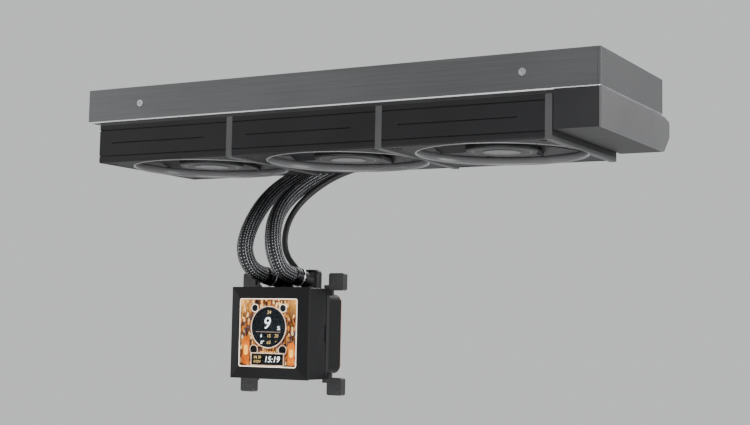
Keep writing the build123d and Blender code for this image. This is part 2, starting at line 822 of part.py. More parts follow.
def make_bezel():
    """The square frame whose four mitred bevels slope back from the screen."""
    with BuildPart() as screen_bezel:
        with BuildSketch(facing(bezel_y)):
            Rectangle(frame_side, frame_side)
        with BuildSketch(facing(screen_y)):
            Rectangle(screen_side, screen_side)
        loft()
        with BuildSketch(facing(bezel_y)):
            Rectangle(frame_side, frame_side)
        extrude(amount=shell_front_y - bezel_y)
        with BuildSketch(facing(screen_y)):
            RectangleRounded(window_side, window_side, window_rounding)
        extrude(amount=shell_front_y - screen_y, mode=Mode.SUBTRACT)
    finish(screen_bezel, "screen_bezel")


def make_glass():
    """The flat glass that fills the bezel's window."""
    with BuildPart() as screen_glass:
        with BuildSketch(facing(glass_y)):
            RectangleRounded(window_side, window_side, window_rounding)
        extrude(amount=panel_y - glass_y)
    finish(screen_glass, "screen_glass")


def make_panel():
    """The display panel behind the glass."""
    with BuildPart() as screen_panel:
        with BuildSketch(facing(panel_y)):
            RectangleRounded(window_side, window_side, window_rounding)
        extrude(amount=panel_thickness)
    finish(screen_panel, "screen_panel")


def make_shell():
    """The pump's dark case between the bezel and the side seam, with a latch in its right side."""
    with BuildPart() as pump_shell:
        with BuildSketch(facing(shell_front_y)):
            RectangleRounded(shell_side, shell_side, shell_rounding)
        extrude(amount=seam_y - shell_front_y)
        with BuildSketch(facing(shell_front_y)):
            RectangleRounded(shell_inner_side, shell_inner_side, shell_inner_rounding)
        extrude(amount=seam_y - shell_front_y, mode=Mode.SUBTRACT)
        with BuildSketch(Plane.YZ.offset(pump_x + shell_side / 2)):
            with Locations((seam_y - latch_width / 2, pump_z)):
                Rectangle(latch_width, latch_length)
        extrude(amount=-latch_depth, mode=Mode.SUBTRACT)
    finish(pump_shell, "pump_shell")


def make_shell_back():
    """The case's back plate, open in the middle for the motor."""
    with BuildPart() as shell_back:
        with BuildSketch(facing(seam_y)):
            RectangleRounded(shell_side, shell_side, shell_rounding)
            Circle(stator_r + 1.0, mode=Mode.SUBTRACT)
        extrude(amount=shell_back_y - seam_y)
        with BuildSketch(facing(seam_y)):
            Rectangle(2 * shell_side, 2 * shell_side)
            RectangleRounded(seam_side, seam_side, shell_inner_rounding, mode=Mode.SUBTRACT)
        extrude(amount=seam_width, mode=Mode.SUBTRACT)
    finish(shell_back, "shell_back")


def make_board():
    """The control board behind the display panel."""
    with BuildPart() as control_board:
        with BuildSketch(facing(board_y)):
            RectangleRounded(board_side, board_side, shell_inner_rounding)
        extrude(amount=board_thickness)
        with BuildSketch(facing(board_y + board_thickness)):
            for middle_x, middle_z, width, height in board_parts:
                with Locations((middle_x, middle_z)):
                    Rectangle(width, height)
        extrude(amount=board_part_height)
    finish(control_board, "control_board")


def make_pump_stator():
    """The wound ring round the pump's can."""
    with BuildPart() as pump_stator:
        with BuildSketch(facing(stator_front_y)):
            Circle(stator_r)
            Circle(stator_r - stator_ring, mode=Mode.SUBTRACT)
            with PolarLocations(0, stator_poles):
                with Locations(((stator_r - stator_ring / 2 + can_r) / 2, 0)):
                    Rectangle(stator_r - stator_ring / 2 - can_r, stator_pole_width)
            Circle(can_r + board_gap, mode=Mode.SUBTRACT)
        extrude(amount=stator_length)
    finish(pump_stator, "pump_stator")


def make_bracket():
    """The mounting plate clamped between case and base, with a thick ear at each corner."""
    plate_side = base_side + 2 * bracket_margin
    with BuildPart() as mount_bracket:
        with BuildSketch(facing(shell_back_y)):
            Rectangle(plate_side, plate_side)
            with GridLocations(ear_spacing, ear_spacing, 2, 2):
                RectangleRounded(ear_side, ear_side, ear_rounding)
            with GridLocations(ear_spacing - ear_side, ear_spacing - ear_side, 2, 2):
                Rectangle(bridge_side, bridge_side)
            Circle(can_r + board_gap, mode=Mode.SUBTRACT)
        extrude(amount=bracket_back_y - shell_back_y)
        with BuildSketch(facing(bracket_back_y)):
            with GridLocations(ear_spacing, ear_spacing, 2, 2):
                RectangleRounded(ear_side, ear_side, ear_rounding)
        extrude(amount=ear_thickness)
        with BuildSketch(facing(bracket_back_y)):
            with GridLocations(ear_spacing, ear_spacing, 2, 2):
                Circle(ear_hole_r)
        extrude(amount=ear_thickness, mode=Mode.SUBTRACT)
        front_ears = mount_bracket.faces().filter_by(Axis.Y).sort_by(Axis.Y)[0].edges()
        chamfer(front_ears.filter_by(Axis.Z).sort_by(Axis.X)[0:2], length=ear_bevel)
    finish(mount_bracket, "mount_bracket")


def make_base():
    """The pump's wet housing: impeller chamber, motor can and two ports in its top."""
    port_depth = base_side / 2
    with BuildPart() as pump_base:
        with BuildSketch(facing(bracket_back_y)):
            RectangleRounded(base_side, base_side, base_rounding)
        extrude(amount=base_back_y - bracket_back_y)
        with BuildSketch(facing(can_front_y)):
            Circle(can_r)
        extrude(amount=bracket_back_y - can_front_y)
        with BuildSketch(facing(can_front_y + can_wall)):
            Circle(can_r - can_wall)
        extrude(amount=base_back_y - can_front_y - can_wall, mode=Mode.SUBTRACT)
        with BuildSketch(facing(chamber_front_y)):
            Circle(chamber_r)
        extrude(amount=base_back_y - chamber_front_y, mode=Mode.SUBTRACT)
        with BuildSketch(Plane.XY.offset(base_top)):
            with Locations((left_elbow_x, elbow_y), (right_elbow_x, elbow_y)):
                Circle(elbow_bore_r)
        extrude(amount=-port_depth, mode=Mode.SUBTRACT)
        with BuildSketch(facing(base_back_y)):
            with GridLocations(plate_screw_pitch, plate_screw_pitch, 2, 2):
                Circle(plate_screw_r)
        extrude(amount=-plate_screw_grip, mode=Mode.SUBTRACT)
    finish(pump_base, "pump_base")


def make_cold_plate():
    """The copper plate that closes the chamber and rests on the processor."""
    with BuildPart() as cold_plate:
        with BuildSketch(facing(base_back_y)):
            RectangleRounded(base_side - 2 * plate_margin, base_side - 2 * plate_margin, plate_rounding)
            with GridLocations(plate_screw_pitch, plate_screw_pitch, 2, 2):
                Circle(plate_screw_r, mode=Mode.SUBTRACT)
        extrude(amount=plate_flange)
        with BuildSketch(facing(base_back_y + plate_flange)):
            RectangleRounded(contact_side, contact_side, contact_rounding)
        extrude(amount=cold_plate_y - base_back_y - plate_flange)
        chamfer(cold_plate.faces().sort_by(Axis.Y)[-1].edges(), length=contact_bevel)
    finish(cold_plate, "cold_plate")


def make_plate_screws():
    """Four cap screws that hold the cold plate to the pump base."""
    head_y = base_back_y + plate_flange
    with BuildPart() as plate_screws:
        with BuildSketch(facing(base_back_y - plate_screw_grip)):
            with GridLocations(plate_screw_pitch, plate_screw_pitch, 2, 2):
                Circle(plate_screw_r)
        extrude(amount=plate_screw_grip + plate_flange)
        with BuildSketch(facing(head_y)):
            with GridLocations(plate_screw_pitch, plate_screw_pitch, 2, 2):
                Circle(plate_screw_head_r)
        extrude(amount=plate_screw_head)
        with BuildSketch(facing(head_y + plate_screw_head)):
            with GridLocations(plate_screw_pitch, plate_screw_pitch, 2, 2):
                RegularPolygon(radius=plate_socket_r, side_count=6)
        extrude(amount=-socket_depth, mode=Mode.SUBTRACT)
    finish(plate_screws, "plate_screws")


def make_pump_impeller():
    """The magnet rotor with its vaned disc."""
    rotor_front_y = can_front_y + can_wall + shaft_end_gap
    with BuildPart() as pump_impeller:
        with BuildSketch(facing(rotor_front_y)):
            Circle(can_r - can_wall - rotor_gap)
        extrude(amount=rotor_disc_y - rotor_front_y)
        with BuildSketch(facing(rotor_disc_y)):
            Circle(rotor_disc_r)
        extrude(amount=rotor_disc_thickness)
        with BuildSketch(facing(rotor_disc_y + rotor_disc_thickness)):
            with PolarLocations(0, vane_count):
                with Locations((vane_middle_r, 0)):
                    Rectangle(vane_length, vane_width, rotation=vane_angle)
        extrude(amount=vane_height)
        with BuildSketch(facing(can_front_y)):
            Circle(shaft_r + running_gap)
        extrude(amount=cold_plate_y - can_front_y, mode=Mode.SUBTRACT)
    finish(pump_impeller, "pump_impeller")


def make_pump_shaft():
    """The fixed steel pin that the rotor turns on."""
    pin_front_y = can_front_y + can_wall
    with BuildPart() as pump_shaft:
        with BuildSketch(facing(pin_front_y)):
            Circle(shaft_r)
        extrude(amount=base_back_y - pin_front_y)
    finish(pump_shaft, "pump_shaft")


make_tubes()
make_fins()
make_header_plates()
make_left_tank()
make_right_tank()
make_baffle()
make_side_rail(-1, "side_rail_front")
make_side_rail(1, "side_rail_back")
make_front_cover()
make_end_cover()
make_cover_screws()
make_end_housing()
make_end_cap()
make_pipe([(port_x, core_half - tank_wall, upper_port_z), (port_x, hose_y, upper_port_z),
           (hose_start_x, hose_y, upper_port_z)], pipe_bend_r, "port_pipe_upper")
make_pipe([(port_x, lower_port_y, tank_bottom + tank_wall), (port_x, lower_port_y, lower_port_z),
           (port_x, hose_y, lower_port_z), (hose_start_x, hose_y, lower_port_z)], pipe_bend_r, "port_pipe_lower")
make_tank_ferrules()
make_cord(hose_upper_route, hose_d, "hose_upper")
make_cord(hose_lower_route, hose_d, "hose_lower")
make_cord(cable_route, cable_d, "pump_cable")
make_cable_grommets()
make_elbow(left_elbow_x, "elbow_left")
make_elbow(right_elbow_x, "elbow_right")
make_pump_ferrules()
for number, centre in enumerate(fan_centres, start=1):
    make_fan_frame(centre, f"fan_{number}_frame")
    make_fan_rail(centre, f"fan_{number}_rail")
    make_fan_impeller(centre, f"fan_{number}_impeller")
    make_hub_disc(centre, f"fan_{number}_hub_disc")
    make_fan_shaft(centre, f"fan_{number}_shaft")
    make_fan_bearing(centre, f"fan_{number}_bearing")
    make_fan_stator(centre, f"fan_{number}_stator")
make_fan_screws()
make_bezel()
make_glass()
make_panel()
make_shell()
make_shell_back()
make_board()
make_pump_stator()
make_bracket()
make_base()
make_cold_plate()
make_plate_screws()
make_pump_impeller()
make_pump_shaft()
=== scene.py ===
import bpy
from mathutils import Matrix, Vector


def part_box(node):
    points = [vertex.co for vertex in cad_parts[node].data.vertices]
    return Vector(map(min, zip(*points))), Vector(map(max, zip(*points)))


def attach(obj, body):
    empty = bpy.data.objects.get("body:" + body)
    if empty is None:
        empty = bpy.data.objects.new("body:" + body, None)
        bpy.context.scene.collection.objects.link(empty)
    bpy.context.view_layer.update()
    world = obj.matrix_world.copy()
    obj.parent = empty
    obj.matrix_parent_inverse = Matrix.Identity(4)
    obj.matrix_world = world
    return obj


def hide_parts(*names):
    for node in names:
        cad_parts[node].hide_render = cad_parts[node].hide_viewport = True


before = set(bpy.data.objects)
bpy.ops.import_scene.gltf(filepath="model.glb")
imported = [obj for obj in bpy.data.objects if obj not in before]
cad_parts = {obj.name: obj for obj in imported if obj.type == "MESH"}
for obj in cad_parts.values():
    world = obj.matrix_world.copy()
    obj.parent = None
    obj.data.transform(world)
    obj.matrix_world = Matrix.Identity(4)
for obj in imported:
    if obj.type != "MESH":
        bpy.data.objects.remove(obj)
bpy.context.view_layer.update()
print("nodes in the frame:", len(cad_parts))

# %% [markdown]
# # A sealed liquid cooler for a computer
# The cooler is a flat radiator with three fans under it, an aluminium cover along its front,
# two braided hoses and a cable, and a pump block with a square screen. Everything is in metres
# and in one shared frame: X runs along the radiator, Y away from the screen's viewer, Z up.
# Three body groups turn: each fan's rotor, and the impeller inside the pump.

# %% Tools and shared sizes
from math import cos, pi, radians, sin

import bmesh
import bpy
from mathutils import Matrix, Vector

MM = 0.001
FAN_HALF = 0.06
FAN_CENTRES = (-2 * FAN_HALF, 0.0, 2 * FAN_HALF)
DUCT_RADIUS = 0.058
PUMP_X = -0.0695
PUMP_Z = -0.1785
print("fan spacing:", FAN_CENTRES[1] - FAN_CENTRES[0])

# %% [markdown]
# ## Camera
# A product picture is taken from one place with one lens. Here the camera stands in front and to
# the right, a little below the radiator, and looks slightly upwards, so the fans' undersides and
# the pump's screen both show. The axes are worked out from yaw, pitch and roll, which is easier
# to read than a quaternion. A small shift frames the picture without turning the lens.


# %% Place the camera
def place_camera(spot, yaw, pitch, roll, lens, shift):
    """A camera at spot that looks along +Y, turned by yaw to the left, pitch up, and roll."""
    forward = Vector((-sin(yaw) * cos(pitch), cos(yaw) * cos(pitch), sin(pitch)))
    level_right = forward.cross(Vector((0, 0, 1))).normalized()
    level_up = level_right.cross(forward)
    right = level_right * cos(roll) + level_up * sin(roll)
    up = level_up * cos(roll) - level_right * sin(roll)
    lens_data = bpy.data.cameras.new("camera")
    lens_data.sensor_width = 36.0
    lens_data.lens = lens
    lens_data.shift_x, lens_data.shift_y = shift
    lens_data.clip_start = 0.01
    camera = bpy.data.objects.new("camera", lens_data)
    bpy.context.scene.collection.objects.link(camera)
    turn = Matrix((right, up, -forward)).transposed().to_4x4()
    camera.matrix_world = Matrix.Translation(spot) @ turn
    bpy.context.scene.camera = camera
    return camera


camera = place_camera(
    (0.4869, -0.8393, -0.1742), radians(29.56), radians(5.62), radians(1.11), 65.2, (0.0192, -0.0233)
)
print("camera stands", round(camera.location.length, 3), "m from the radiator's middle")

# %% [markdown]
# ## How a finish is built
# A Blender material is a small network of nodes. Typing every node by hand hides the idea, so a
# short class holds one finish and has a verb for each kind of node. All patterns are read from
# Object coordinates, because every finished piece sits unturned at the origin, so a grain keeps
# its size and its place on the metal whatever the camera or the pose does.


# %% A finish and its verbs
class Finish:
    """One surface finish: a principled shader and the pattern nodes that feed it."""

    def __init__(self, name, metallic=0.0, ior=1.5, coat=0.0, shine=0.5):
        self.material = bpy.data.materials.new(name)
        self.material.use_nodes = True
        self.tree = self.material.node_tree
        self.tree.nodes.clear()
        self.out = self.tree.nodes.new("ShaderNodeOutputMaterial")
        self.skin = self.tree.nodes.new("ShaderNodeBsdfPrincipled")
        self.tree.links.new(self.skin.outputs["BSDF"], self.out.inputs["Surface"])
        self.skin.inputs["Metallic"].default_value = metallic
        self.skin.inputs["IOR"].default_value = ior
        self.skin.inputs["Coat Weight"].default_value = coat
        self.skin.inputs["Specular IOR Level"].default_value = shine
        self.place = self.tree.nodes.new("ShaderNodeTexCoord").outputs["Object"]

    def feed(self, socket, value):
        """Links value to a socket if it is a node's output, and types it in if it is a number."""
        if isinstance(value, bpy.types.NodeSocket):
            self.tree.links.new(value, socket)
        elif value is not None:
            socket.default_value = value

    def set(self, name, value):
        self.feed(self.skin.inputs[name], value)

    def stretched(self, scale, place=None):
        """The place on the piece with each axis scaled, which draws a pattern out into lines."""
        node = self.tree.nodes.new("ShaderNodeMapping")
        node.inputs["Scale"].default_value = scale
        self.feed(node.inputs["Vector"], place or self.place)
        return node.outputs["Vector"]

    def cloud(self, scale, detail=3.0, place=None, rough=0.5):
        node = self.tree.nodes.new("ShaderNodeTexNoise")
        node.inputs["Scale"].default_value = scale
        node.inputs["Detail"].default_value = detail
        node.inputs["Roughness"].default_value = rough
        self.feed(node.inputs["Vector"], place or self.place)
        return node.outputs["Fac"]

    def cells(self, scale, place=None, edges=False):
        node = self.tree.nodes.new("ShaderNodeTexVoronoi")
        node.feature = "DISTANCE_TO_EDGE" if edges else "F1"
        node.inputs["Scale"].default_value = scale
        self.feed(node.inputs["Vector"], place or self.place)
        return node

    def axis(self, index, place=None):
        node = self.tree.nodes.new("ShaderNodeSeparateXYZ")
        self.feed(node.inputs[0], place or self.place)
        return node.outputs[index]

    def sum(self, how, a, b=None, c=None):
        """One step of arithmetic on patterns."""
        node = self.tree.nodes.new("ShaderNodeMath")
        node.operation = how
        for socket, value in zip(node.inputs, (a, b, c)):
            self.feed(socket, value)
        return node.outputs[0]

    def between(self, value, low, high, new_low, new_high):
        node = self.tree.nodes.new("ShaderNodeMapRange")
        limits = {"From Min": low, "From Max": high, "To Min": new_low, "To Max": new_high}
        for name, number in limits.items():
            node.inputs[name].default_value = number
        self.feed(node.inputs["Value"], value)
        return node.outputs["Result"]

    def tint(self, value, *stops):
        """Colours along a pattern's value, each stop a position and a colour."""
        node = self.tree.nodes.new("ShaderNodeValToRGB")
        elements = node.color_ramp.elements
        elements.remove(elements[1])
        elements[0].position, elements[0].color = stops[0][0], (*stops[0][1], 1.0)
        for position, colour in stops[1:]:
            elements.new(position).color = (*colour, 1.0)
        self.feed(node.inputs["Fac"], value)
        return node.outputs["Color"]

    def mix(self, share, a, b):
        """Blends colour a into colour b. A mix node's colours are its sockets 6 and 7 in, 2 out."""
        node = self.tree.nodes.new("ShaderNodeMix")
        node.data_type = "RGBA"
        self.feed(node.inputs["Factor"], share)
        for index, colour in ((6, a), (7, b)):
            linked = isinstance(colour, bpy.types.NodeSocket)
            self.feed(node.inputs[index], colour if linked else (*colour, 1.0))
        return node.outputs[2]

    def fan_x(self, past=0.0):
        """X measured from the nearest fan's axis, with the join of two fans moved out by past."""
        return self.sum("WRAP", self.axis(0), FAN_HALF + past, past - FAN_HALF)

    def fan_radius(self):
        """The distance from the nearest fan's axis."""
        across, deep = self.sum("POWER", self.fan_x(), 2.0), self.sum("POWER", self.axis(1), 2.0)
        return self.sum("SQRT", self.sum("ADD", across, deep))

    def relief(self, height, strength, depth, over=None):
        """A fine bump, given its depth in metres. Reliefs stack through over."""
        node = self.tree.nodes.new("ShaderNodeBump")
        node.inputs["Strength"].default_value = strength
        node.inputs["Distance"].default_value = depth
        self.feed(node.inputs["Height"], height)
        self.feed(node.inputs["Normal"], over)
        self.tree.links.new(node.outputs["Normal"], self.skin.inputs["Normal"])
        return node.outputs["Normal"]


print("finish verbs:", [verb for verb in dir(Finish) if not verb.startswith("_")])

# %% [markdown]
# ## Hoses and cable
# The two hoses are rubber tubes inside a braided sleeve of black strands with a few silver ones.
# Blender could bevel a curve into a tube, but the braid has to follow the hose, so each hose is a
# mesh swept along its route: one ring of points is extruded from step to step, and every point
# carries how far round and how far along it lies. That pair of numbers becomes the UV map.


# %% The three routes
HOSE_UPPER_ROUTE = [
    (0.168, 0.0693, -0.014), (0.128, 0.0693, -0.014), (0.078, 0.0712, -0.0152), (0.026, 0.0734, -0.0194),
    (-0.022, 0.0746, -0.0278), (-0.06, 0.0744, -0.0388), (-0.086, 0.0716, -0.053), (-0.0984, 0.059, -0.0656),
    (-0.1004, 0.0446, -0.077), (-0.0984, 0.0296, -0.0888), (-0.0968, 0.0174, -0.1016),
    (-0.0964, 0.0118, -0.115), (-0.0946, 0.0144, -0.126), (-0.09285, 0.02273, -0.13274),
    (-0.09042, 0.03119, -0.13461),
]
HOSE_LOWER_ROUTE = [
    (0.168, 0.0693, -0.0345), (0.122, 0.0693, -0.0345), (0.07, 0.069, -0.0354), (0.024, 0.0692, -0.0376),
    (-0.014, 0.069, -0.041), (-0.046, 0.0688, -0.0468), (-0.0715, 0.0668, -0.0582), (-0.081, 0.0556, -0.0696),
    (-0.0816, 0.0416, -0.0798), (-0.0788, 0.0284, -0.09), (-0.0744, 0.0174, -0.1018),
    (-0.0704, 0.0118, -0.1148), (-0.0682, 0.0144, -0.126), (-0.06765, 0.02273, -0.13274),
    (-0.06522, 0.03119, -0.13461),
]
CABLE_ROUTE = [
    (0.176, 0.064, -0.0445), (0.136, 0.064, -0.0445), (0.092, 0.0636, -0.045), (0.048, 0.0632, -0.046),
    (0.008, 0.063, -0.0472), (-0.022, 0.0629, -0.0498), (-0.046, 0.063, -0.0562), (-0.066, 0.0628, -0.0666),
    (-0.0796, 0.06, -0.079), (-0.0868, 0.0572, -0.0924), (-0.0888, 0.0556, -0.1066),
    (-0.0862, 0.056, -0.1186), (-0.0774, 0.0572, -0.1288), (-0.0695, 0.0562, -0.1364),
    (-0.0695, 0.0562, -0.1445),
]


def smooth_line(name, route):
    """The points along the smooth spline whose control points are the route's."""
    curve = bpy.data.curves.new(name, "CURVE")
    curve.dimensions = "3D"
    spline = curve.splines.new("NURBS")
    spline.points.add(len(route) - 1)
    for knot, point in zip(spline.points, route):
        knot.co = (*point, 1.0)
    spline.order_u = 3
    spline.use_endpoint_u = True
    spline.resolution_u = 22
    holder = bpy.data.objects.new(name, curve)
    bpy.context.scene.collection.objects.link(holder)
    line = bpy.data.meshes.new_from_object(holder)
    points = [v.co.copy() for v in line.vertices]
    bpy.data.objects.remove(holder)
    return points


hose_upper_line = smooth_line("hose_upper_line", HOSE_UPPER_ROUTE)
hose_lower_line = smooth_line("hose_lower_line", HOSE_LOWER_ROUTE)
cable_line = smooth_line("cable_line", CABLE_ROUTE)
for label, line in (("upper hose", hose_upper_line), ("lower hose", hose_lower_line), ("cable", cable_line)):
    print(label, len(line), "points,", round(sum((b - a).length for a, b in zip(line, line[1:])), 4), "m")


# %% Turn a bmesh into a piece of the cooler
HOSE_RADIUS, HOSE_SIDES = 0.0062, 40
CABLE_RADIUS, CABLE_SIDES = 0.0024, 20


def make_piece(name, shape, material, body="cooler", replaced=(), smooth=True, sharp=32):
    """Writes the bmesh to an object, gives it its finish, and hangs it on its body."""
    data = bpy.data.meshes.new(name)
    shape.to_mesh(data)
    shape.free()
    if smooth:
        data.shade_smooth()
        data.set_sharp_from_angle(angle=radians(sharp))
    data.materials.append(material)
    piece = bpy.data.objects.new(name, data)
    bpy.context.scene.collection.objects.link(piece)
    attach(piece, body)
    if replaced:
        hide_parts(*replaced)
    return piece


def swept_sleeve(line, radius, around):
    """A tube along the line, whose UV map holds the turns round it and the metres along it."""
    shape = bmesh.new()
    turn_layer = shape.verts.layers.float.new("turn")
    along_layer = shape.verts.layers.float.new("along")
    heading = (line[1] - line[0]).normalized()
    side = heading.orthogonal().normalized()
    stand = Matrix((side, heading.cross(side), heading)).transposed().to_4x4()
    first = Matrix.Translation(line[0]) @ stand
    bmesh.ops.create_circle(shape, segments=around, radius=radius, cap_ends=False)
    ring = shape.verts[:]
    for index, vert in enumerate(ring):
        vert[turn_layer] = index / around
    bmesh.ops.transform(shape, matrix=first, verts=ring)
    edges = shape.edges[:]
    start_edges = edges
    along, place = 0.0, first
    for step, (here, after) in enumerate(zip(line, line[1:]), start=1):
        ahead = line[min(step + 1, len(line) - 1)]
        new_heading = (ahead - here).normalized()
        bend = heading.rotation_difference(new_heading).to_matrix().to_4x4()
        rotation = bend @ place.to_3x3().to_4x4()
        new_place = Matrix.Translation(after) @ rotation
        moved = bmesh.ops.extrude_edge_only(shape, edges=edges)["geom"]
        ring = [g for g in moved if isinstance(g, bmesh.types.BMVert)]
        edges = [g for g in moved if isinstance(g, bmesh.types.BMEdge)]
        bmesh.ops.transform(shape, matrix=new_place @ place.inverted(), verts=ring)
        along += (after - here).length
        for vert in ring:
            vert[along_layer] = along
        heading, place = new_heading, new_place
    for rim in (start_edges, edges):
        bmesh.ops.contextual_create(shape, geom=rim)
    bmesh.ops.recalc_face_normals(shape, faces=shape.faces[:])
    uv = shape.loops.layers.uv.new("sleeve")
    for face in shape.faces:
        turns = [loop.vert[turn_layer] for loop in face.loops]
        wraps = max(turns) - min(turns) > 0.5
        for loop, turn in zip(face.loops, turns):
            loop[uv].uv = (turn + 1.0 if wraps and turn < 0.5 else turn, loop.vert[along_layer])
    return shape


print("sides of a sleeve ring:", HOSE_SIDES, "on the hoses,", CABLE_SIDES, "on the cable")

# %% [markdown]
# ## The braid
# A braid is two sets of strands that wind round in opposite directions and pass over and under
# each other. With turns and metres in the UV map, each set is a slanted wave, and a chequer says
# which set is on top. Silver strands show as short bright dashes in rows along the hose, with a
# plain black band between every few rows.


# %% Braided sleeve finish
STRAND_ROWS = 18.0
WEAVE_PITCH = 3.0 * MM
DASH_PITCH = 1.9 * MM


def braided_sleeve():
    f = Finish("braided_sleeve", ior=1.5, shine=0.18)
    uv = f.tree.nodes.new("ShaderNodeUVMap")
    uv.uv_map = "sleeve"
    turns, metres = f.axis(0, uv.outputs[0]), f.axis(1, uv.outputs[0])
    rows = f.sum("MULTIPLY", turns, STRAND_ROWS)
    picks = f.sum("MULTIPLY", metres, 1 / WEAVE_PITCH)
    left = f.sum("ABSOLUTE", f.sum("SINE", f.sum("MULTIPLY", f.sum("ADD", rows, picks), pi)))
    right = f.sum("ABSOLUTE", f.sum("SINE", f.sum("MULTIPLY", f.sum("SUBTRACT", rows, picks), pi)))
    chequer = f.sum(
        "MULTIPLY",
        f.sum("SINE", f.sum("MULTIPLY", rows, 2 * pi)),
        f.sum("SINE", f.sum("MULTIPLY", picks, 2 * pi)),
    )
    on_top = f.between(chequer, -0.15, 0.15, 0.0, 1.0)
    weave = f.sum(
        "ADD",
        f.sum("MULTIPLY", left, on_top),
        f.sum("MULTIPLY", right, f.sum("SUBTRACT", 1.0, on_top)),
    )
    across = f.sum("PINGPONG", f.sum("ADD", rows, 0.5), 0.5)
    parity = f.sum("MULTIPLY", f.sum("FLOOR", rows), 0.5)
    run = f.sum("PINGPONG", f.sum("ADD", f.sum("MULTIPLY", metres, 1 / DASH_PITCH), parity), 0.5)
    narrow = f.between(across, 0.22, 0.32, 0.0, 1.0)
    short = f.between(run, 0.29, 0.35, 0.0, 1.0)
    band = f.sum("MODULO", f.sum("FLOOR", rows), 6.0)
    rows_on = f.between(band, 4.4, 4.6, 1.0, 0.0)
    glint = f.between(f.cloud(700.0, 1.0), 0.38, 0.6, 0.45, 1.0)
    dash = f.sum("MULTIPLY", f.sum("MULTIPLY", narrow, short), f.sum("MULTIPLY", rows_on, glint))
    gap, strand, crown = (0.001, 0.001, 0.001), (0.006, 0.006, 0.0065), (0.018, 0.018, 0.019)
    strands = f.tint(weave, (0.0, gap), (0.6, strand), (1.0, crown))
    f.set("Base Color", f.mix(dash, strands, (0.62, 0.63, 0.65)))
    f.set("Roughness", f.between(dash, 0.0, 1.0, 0.55, 0.32))
    f.set("Metallic", f.between(dash, 0.0, 1.0, 0.0, 0.25))
    f.relief(f.sum("ADD", weave, dash), 0.9, 0.0003)
    return f.material


sleeve_finish = braided_sleeve()
print("strands per turn:", 2 * STRAND_ROWS, "and one dash every", DASH_PITCH / MM, "mm")


# %% Cable jacket finish
def cable_jacket():
    f = Finish("cable_jacket", ior=1.5, shine=0.3)
    scuffs = f.cloud(700.0, 4.0)
    f.set("Base Color", f.tint(f.cloud(60.0), (0.3, (0.010, 0.010, 0.011)), (0.7, (0.022, 0.022, 0.024))))
    f.set("Roughness", f.between(scuffs, 0.3, 0.7, 0.30, 0.48))
    f.relief(scuffs, 0.25, 0.0001)
    return f.material


cable_finish = cable_jacket()
print("cable finish:", cable_finish.name)

hose_upper = make_piece(
    "hose_upper_sleeve", swept_sleeve(hose_upper_line, HOSE_RADIUS, HOSE_SIDES), sleeve_finish,
    replaced=["hose_upper"], sharp=60,
)
hose_lower = make_piece(
    "hose_lower_sleeve", swept_sleeve(hose_lower_line, HOSE_RADIUS, HOSE_SIDES), sleeve_finish,
    replaced=["hose_lower"], sharp=60,
)
pump_cable = make_piece(
    "pump_cable_jacket", swept_sleeve(cable_line, CABLE_RADIUS, CABLE_SIDES), cable_finish,
    replaced=["pump_cable"], sharp=60,
)
print("faces on the upper hose:", len(hose_upper.data.polygons))

# %% [markdown]
# ## Metals
# The cover is brushed aluminium: the brush leaves hair-thin lines along the radiator, so its
# noise is stretched a hundred times along X, and the lines break up both the colour and the
# gloss. Other metals differ in how they were worked: anodised, drawn, turned, polished or stamped.


# %% Brushed, stamped, drawn and turned metals
COVER_LOW_Z = -0.024


def brushed_aluminium():
    f = Finish("brushed_aluminium", metallic=0.85)
    hair = f.cloud(1.0, 5.0, f.stretched((24.0, 3000.0, 3000.0)), 0.7)
    streaks = f.cloud(1.0, 2.0, f.stretched((12.0, 1300.0, 1300.0)))
    # A thin line at the cover's lower edge is a polished cut edge, and its light colour there is also a
    # painted highlight.
    cut_edge_and_highlight = f.between(f.axis(2), COVER_LOW_Z - 0.05 * MM, COVER_LOW_Z + 0.05 * MM, 1.0, 0.0)
    patina = f.cloud(7.0, 2.0)
    tone = f.sum("ADD", f.sum("MULTIPLY", hair, 0.6), f.sum("MULTIPLY", streaks, 0.4))
    metal = f.tint(tone, (0.25, (0.074, 0.074, 0.076)), (0.75, (0.130, 0.131, 0.133)))
    aged = f.mix(f.between(patina, 0.4, 0.7, 0.0, 0.3), metal, (0.15, 0.15, 0.152))
    f.set("Base Color", f.mix(cut_edge_and_highlight, aged, (0.72, 0.72, 0.74)))
    rough = f.between(tone, 0.3, 0.7, 0.36, 0.50)
    f.set("Roughness", f.sum("SUBTRACT", rough, f.sum("MULTIPLY", cut_edge_and_highlight, 0.2)))
    f.relief(tone, 0.18, 0.00008)
    return f.material


def coated_bezel_metal():
    f = Finish("coated_bezel_metal", metallic=0.6, shine=0.3)
    grain = f.cloud(1800.0, 3.0)
    wear = f.cloud(22.0, 3.0)
    f.set("Base Color", f.tint(grain, (0.3, (0.009, 0.009, 0.0095)), (0.7, (0.015, 0.015, 0.016))))
    f.set("Roughness", f.between(wear, 0.35, 0.7, 0.34, 0.46))
    f.relief(grain, 0.15, 0.00006)
    return f.material


def stamped_bracket_metal():
    f = Finish("stamped_bracket_metal", metallic=0.8)
    grain = f.cloud(1400.0, 4.0)
    rub = f.cloud(1.0, 2.0, f.stretched((60.0, 60.0, 900.0)))
    f.set("Base Color", f.tint(grain, (0.3, (0.040, 0.040, 0.041)), (0.7, (0.065, 0.065, 0.067))))
    f.set("Roughness", f.between(rub, 0.3, 0.7, 0.38, 0.55))
    f.relief(grain, 0.25, 0.00008)
    return f.material


def drawn_steel():
    f = Finish("drawn_steel", metallic=1.0)
    lines = f.cloud(1.0, 3.0, f.stretched((500.0, 500.0, 40.0)))
    f.set("Base Color", f.tint(lines, (0.3, (0.42, 0.42, 0.43)), (0.7, (0.56, 0.56, 0.57))))
    f.set("Roughness", f.between(lines, 0.3, 0.7, 0.24, 0.38))
    f.relief(lines, 0.15, 0.00005)
    return f.material


